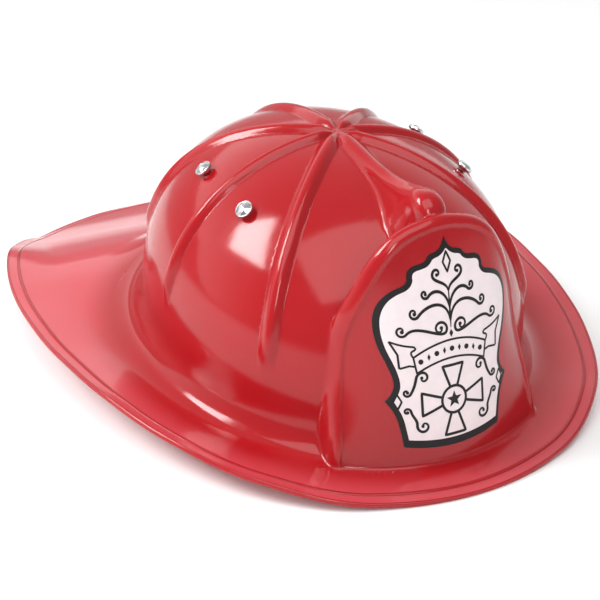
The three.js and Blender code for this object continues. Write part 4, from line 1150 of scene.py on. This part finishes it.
def fan(points):
    """Filled raised shape, drawn from its centre."""
    rim = np.asarray(points, float)
    centre = rim.mean(0)
    count = len(rim)
    base = sum(len(part) for part in INK_PARTS)
    for x, z in ((rim[:, 0], rim[:, 1]), (centre[:1], centre[1:])):
        INK_PARTS.extend([on_shield(x, z, INK_HEIGHT), on_shield(x, z, INK_LOW)])
    middle = base + 2 * count
    for i in range(count):
        a, b = base + i, base + (i + 1) % count
        INK_FACES.append((a, b, middle))
        INK_FACES.append((a + count, middle + 1, b + count))
        INK_FACES.append((a, a + count, b + count, b))


def circle(centre, radius, count):
    t = np.linspace(0, 2 * math.pi, count, endpoint=False)
    return np.stack([centre[0] + radius * np.cos(t), centre[1] + radius * np.sin(t)], 1)


def dense(points, step=0.6, closed=False):
    """Points along a polyline, no wider apart than about one step."""
    points = np.asarray(points, float)
    if closed:
        points = np.concatenate([points, points[:1]])
    out = []
    for start, end in zip(points, points[1:]):
        count = max(1, int(np.linalg.norm(end - start) / step))
        out += [start + (end - start) * i / count for i in range(count)]
    if not closed:
        out.append(points[-1])
    return np.array(out)


def unit(degrees):
    return np.array([math.cos(math.radians(degrees)), math.sin(math.radians(degrees))])


# A scroll is (centre, radius, degrees where its stem joins, sense of turning, turns).
def scroll_line(centre, radius, degrees, sense, turns):
    """Spiral from its outside to its heart."""
    t = np.linspace(0, 1, 46)
    radii = radius * (1 - 0.80 * t ** 0.95)
    angle = np.radians(degrees) + sense * 2 * math.pi * turns * t
    return np.stack([centre[0] + radii * np.cos(angle), centre[1] + radii * np.sin(angle)], 1)


def stem_to(start, heading, scroll, pulls):
    """Cubic stem from start into a scroll, and the scroll; pulls set its end handles."""
    spiral = scroll_line(*scroll)
    end = spiral[0]
    into = unit(scroll[2] + scroll[3] * 90)
    length = np.linalg.norm(end - start)
    near, far = start + heading * length * pulls[0], end - into * length * pulls[1]
    t = np.linspace(0, 1, 46)[:, None]
    stem = ((1 - t) ** 3 * start + 3 * t * (1 - t) ** 2 * near
            + 3 * t * t * (1 - t) * far + t ** 3 * end)
    return np.concatenate([stem[:-1], spiral])


def draw_scrolls(path, balls, ball_radius):
    """Ink a path that swells in its middle, with balls, on both halves."""
    run = np.concatenate([[0], np.cumsum(np.linalg.norm(np.diff(path, axis=0), axis=1))])
    keep = np.concatenate([[True], np.diff(run) > 1e-6])
    path, run = path[keep], run[keep]
    along = np.linspace(0, run[-1], max(20, int(run[-1] / 0.32)))
    even = np.stack([np.interp(along, run, path[:, 0]), np.interp(along, run, path[:, 1])], 1)
    thin, thick = 0.7, 1.25
    width = thin + (thick - thin) * np.sin(math.pi * along / run[-1]) ** 0.7
    for side in SIDES:
        ribbon(even * [side, 1], width)
        for ball in balls:
            fan(circle((ball[0] * side, ball[1]), ball_radius, 16))


def branch(start, degrees, scroll, pulls, ball_radius):
    path = stem_to(np.array(start), unit(degrees), scroll, pulls)
    draw_scrolls(path, [path[-1]], ball_radius)


def double(first, second, pulls, ball_radius):
    """Two scrolls joined by one stem."""
    head = scroll_line(*first)[::-1]
    heading = unit(first[2] + first[3] * 90 + 180)
    path = np.concatenate([head[:-1], stem_to(head[-1], heading, second, pulls)])
    draw_scrolls(path, [head[0], path[-1]], ball_radius)


def spray():
    """Top lozenge over a trunk with paired scrolls."""
    ribbon(dense([(0.2, 91.6), (2.1, 87.6), (0.2, 83.6), (-1.7, 87.6)], 0.5, True), 0.9, True)
    branch((0.1, 76.4), 80, ((5.2, 83.6), 2.3, -35, 1, 0.85), (0.40, 0.30), 0.7)
    branch((0.1, 69.8), 82, ((11.6, 76.6), 2.0, 222, 1, 0.95), (0.62, 0.40), 0.7)
    branch((0.1, 64.6), 84, ((17.2, 69.6), 2.4, 222, 1, 1.0), (0.62, 0.42), 0.8)
    double(((5.4, 61.9), 3.3, 176, -1, 1.05), ((23.2, 62.9), 2.7, 222, 1, 1.0),
           (0.42, 0.42), 0.85)
    trunk = dense([(0, 61.6), (0, 77.0)])
    ribbon(trunk, np.interp(trunk[:, 1], [61.6, 68, 77.0], [0.4, 0.95, 0.5]))
    fan([(-0.95, 59.1), (0, 57.3), (0.95, 59.1), (0, 60.9)])


def banner():
    """Arched ribbon with forked tails and a row of plain studs."""
    line = 0.85
    t = np.linspace(-1, 1, 61)
    ribbon(np.stack([t * 18.5, 56.2 - 5.4 * t * t], 1), line)
    ribbon(np.stack([t * 17.2, 48.2 - 4.6 * t * t], 1), line)
    shoulder, tip, notch, inner = (18.5, 50.8), (28.4, 58.4), (24.8, 46.4), (20.4, 47.3)
    upper = [((20.4, 53.4), (18.2, 53.9), 10), ((16.6, 54.6), (18.2, 55.6), 8),
             ((23.4, 56.4), tip, 12)]
    lower = curve_chain(notch, [((22.4, 46.9), inner, 10)]) + [dense([inner, (18.2, 46.8)])]
    for side in SIDES:
        for points, width in (
                (dense([shoulder, (17.2, 43.6)]), line),
                (np.concatenate(curve_chain(shoulder, upper)), line),
                (dense([tip, (25.2, 52.6), notch]), 0.9),
                (np.concatenate(lower), line)):
            ribbon(points * [side, 1], width)
    for i in range(-4, 5):
        x = i * 3.8
        z = 52.2 - 5.0 * (x / 17.9) ** 2
        if i % 2 == 0:
            fan(circle((x, z), 1.15, 20))
        else:
            fan([(x, z + 1.5), (x - 0.75, z), (x, z - 1.5), (x + 0.75, z)])


def cross():
    """Flared cross round a ring with a five-pointed star."""
    centre_z = 29.2
    ribbon(circle((0, centre_z), 6.1, 48), 1.2, True)
    star = []
    for i in range(10):
        angle = math.pi / 2 + i * math.pi / 5
        radius = 3.9 * (1 if i % 2 == 0 else 0.42)
        star.append((radius * math.cos(angle), centre_z + radius * math.sin(angle)))
    fan(star)
    x, z = dense([(-1.9, 6.3), (-5.2, 15.6), (5.2, 15.6), (1.9, 6.3)], 0.5).T
    for k in range(4):
        cosine, sine = math.cos(k * math.pi / 2), math.sin(k * math.pi / 2)
        ribbon(np.stack([x * cosine - z * sine, centre_z + x * sine + z * cosine], 1), 1.2)


def corners():
    """Corner scrolls and side lozenges."""
    double(((14.6, 41.2), 3.1, 15, 1, 1.0), ((22.3, 35.4), 1.9, 215, 1, 0.9), (0.40, 0.40), 0.75)
    double(((22.6, 26.6), 1.8, 170, -1, 0.85), ((15.2, 19.4), 3.2, 8, -1, 1.0),
           (0.40, 0.40), 0.75)
    lozenge = np.array([(26.4, 34.8), (28.2, 31.4), (26.4, 28.0), (24.6, 31.4)])
    for side in SIDES:
        ribbon(dense(lozenge * [side, 1], 0.5, True), 0.8, True)


spray()
banner()
cross()
corners()
fit(closed_object("badge_ink", to_row(np.concatenate(INK_PARTS)), INK_FACES, rounded=False),
    BADGE_BLACK)


# ---------------------------------------------------------------- inner parts
def copy_piece(node, name):
    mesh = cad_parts[node].data.copy()
    mesh.name = name
    return link_object(name, mesh)


def refined(stem, tail, look, bevel, body="helmet"):
    """CAD piece stem + tail with its sharp edges rounded by bevel metres."""
    piece = copy_piece(stem + tail, stem + "_fine" + tail)
    mesh = piece.data
    work = bmesh.new()
    work.from_mesh(mesh)
    bmesh.ops.remove_doubles(work, verts=work.verts, dist=2e-6)
    bmesh.ops.dissolve_limit(work, angle_limit=math.radians(0.6), verts=work.verts,
                             edges=work.edges)
    bmesh.ops.recalc_face_normals(work, faces=work.faces)
    edges = [edge for edge in work.edges
             if edge.is_manifold and edge.calc_face_angle(0) > math.radians(28)]
    bmesh.ops.bevel(work, geom=edges, offset=bevel, segments=2, profile=0.5,
                    affect="EDGES", clamp_overlap=True)
    work.to_mesh(mesh)
    work.free()
    if "custom_normal" in mesh.attributes:
        mesh.attributes.remove(mesh.attributes["custom_normal"])
    shade_smooth(mesh)
    mesh.set_sharp_from_angle(angle=math.radians(40))
    fit(piece, look, stem + tail, body)


def cushion(node, body):
    """CAD pad remeshed and smoothed into a soft one."""
    piece = copy_piece(node, node + "_soft")
    remesh = piece.modifiers.new("r", "REMESH")
    remesh.mode = "VOXEL"
    remesh.voxel_size = 0.0014
    relax = piece.modifiers.new("s", "SMOOTH")
    relax.factor = 0.6
    relax.iterations = 8
    graph = bpy.context.evaluated_depsgraph_get()
    mesh = bpy.data.meshes.new_from_object(piece.evaluated_get(graph))
    piece.modifiers.clear()
    piece.data = mesh
    shade_smooth(mesh)
    fit(piece, PAD, node, body)


for corner in ("_front_left", "_front_right", "_rear_left", "_rear_right"):
    refined("hanger", corner, WEBBING, bevel=0.00025)
    refined("band_stud", corner, BAND, bevel=0.00015)
refined("crown_strap", "_a", WEBBING, bevel=0.00025)
refined("crown_strap", "_b", WEBBING, bevel=0.00025)
refined("crown_rivet", "", WASHER_STEEL, bevel=0.0002)
refined("headband_front", "", BAND, bevel=0.0003)
refined("headband_rear", "", BAND, bevel=0.0003, body="nape_band")
for hand in ("_left", "_right"):
    refined("keeper", hand, BAND, bevel=0.0002)
    refined("size_stud", hand, BAND, bevel=0.00015, body="nape_band")
cushion("brow_pad", "helmet")
cushion("nape_pad", "nape_band")


# ---------------------------------------------------------------- stage (metres)
def stage_floor(rows=60, columns=80):
    """Seamless sweep: a floor that rolls up behind y = 3."""
    verts, faces = [], []
    for i in range(rows):
        for j in range(columns):
            y = -5 + 11 * (j / (columns - 1))
            z = 0.0 if y < 3 else (y - 3) ** 2 * 0.25
            verts.append((-6 + 12 * i / (rows - 1), y, z - 0.0002))
    for i in range(rows - 1):
        for j in range(columns - 1):
            a = i * columns + j
            faces.append((a, a + columns, a + columns + 1, a + 1))
    floor = new_object("floor", verts, faces)
    made, tree, shader, coords = material("floor_white")
    tint = ramp(tree, noise(tree, coords, scale=3, detail=2),
                [(0.3, grey(0.90)), (0.7, grey(0.93))])
    wire(tree, shader, {"Base Color": tint, "Roughness": 0.7})
    floor.data.materials.append(made)


def studio_world():
    """White surroundings, brighter low down behind the helmet."""
    back_light, base_light = 1.25, 0.40
    world = bpy.data.worlds.new("studio")
    bpy.context.scene.world = world
    world.use_nodes = True
    tree = world.node_tree
    coords = add_node(tree, "TexCoord", {})
    split = add_node(tree, "SeparateXYZ", {0: coords.outputs["Generated"]})

    def ease(axis, start, end, low, high):
        return add_node(tree, "MapRange", {
            "From Min": start, "From Max": end, "To Min": low, "To Max": high,
            "Value": split.outputs[axis]}, interpolation_type="SMOOTHSTEP").outputs[0]

    def combine(operation, first, second):
        return add_node(tree, "Math", {0: first, 1: second}, operation=operation).outputs[0]

    behind = ease("Y", start=-0.1, end=0.75, low=0.0, high=1.0)
    near_floor = ease("Z", start=0.30, end=0.85, low=1.0, high=0.25)
    glow = combine("MULTIPLY", combine("MULTIPLY", behind, near_floor), back_light)
    wire(tree, tree.nodes["Background"], {0: (1, 1, 1, 1),
                                          1: combine("ADD", glow, base_light)})


def softbox(name, directions, distance, radiance):
    """Glowing panel whose corners lie in the given directions from the helmet."""
    centre = Vector((-0.05, -0.04, 0.08))
    corners = [tuple(centre + Vector(way).normalized() * distance) for way in directions]
    panel = new_object(name, corners, [range(len(corners))], rounded=False)
    made, _, shader = blank_material(name, "Emission")
    shader.inputs[1].default_value = radiance
    panel.data.materials.append(made)


def camera():
    lens = bpy.data.cameras.new("cam")
    lens.lens = 90.66
    lens.sensor_width = 36
    lens.clip_start, lens.clip_end = 0.05, 30
    made = link_object("cam", lens)
    # columns: the camera's right, its up, its backward direction, its place
    pose = Matrix((
        (0.89035, 0.20245, -0.40781, -0.32377),
        (-0.45528, 0.39060, -0.80010, -0.60590 + SHIFT_Y / 1000),
        (-0.00269, 0.89803, 0.43994, 0.36724),
        (0, 0, 0, 1)))
    place, turn, _ = pose.decompose()
    made.rotation_mode = "QUATERNION"
    made.location, made.rotation_quaternion = place, turn
    bpy.context.scene.camera = made


stage_floor()
studio_world()
softbox("softbox_key", [(-0.600, 0.475, 0.640), (-0.404, 0.295, 0.866),
                        (-0.822, 0.075, 0.569), (-0.765, 0.435, 0.470)],
        distance=1.6, radiance=18)
softbox("softbox_top", [(-0.75, -0.55, 0.55), (0.25, -0.75, 0.75), (0.35, -0.05, 1.0),
                        (-0.62, 0.02, 0.95)], distance=2.0, radiance=2.6)
softbox("softbox_front", [(-0.50, -0.86, 0.30), (-0.30, -0.93, 0.30), (-0.28, -0.78, 0.62),
                          (-0.46, -0.72, 0.62)], distance=1.8, radiance=9)
camera()
bpy.context.scene.view_settings.view_transform = "Standard"
bpy.context.scene.view_settings.look = "None"
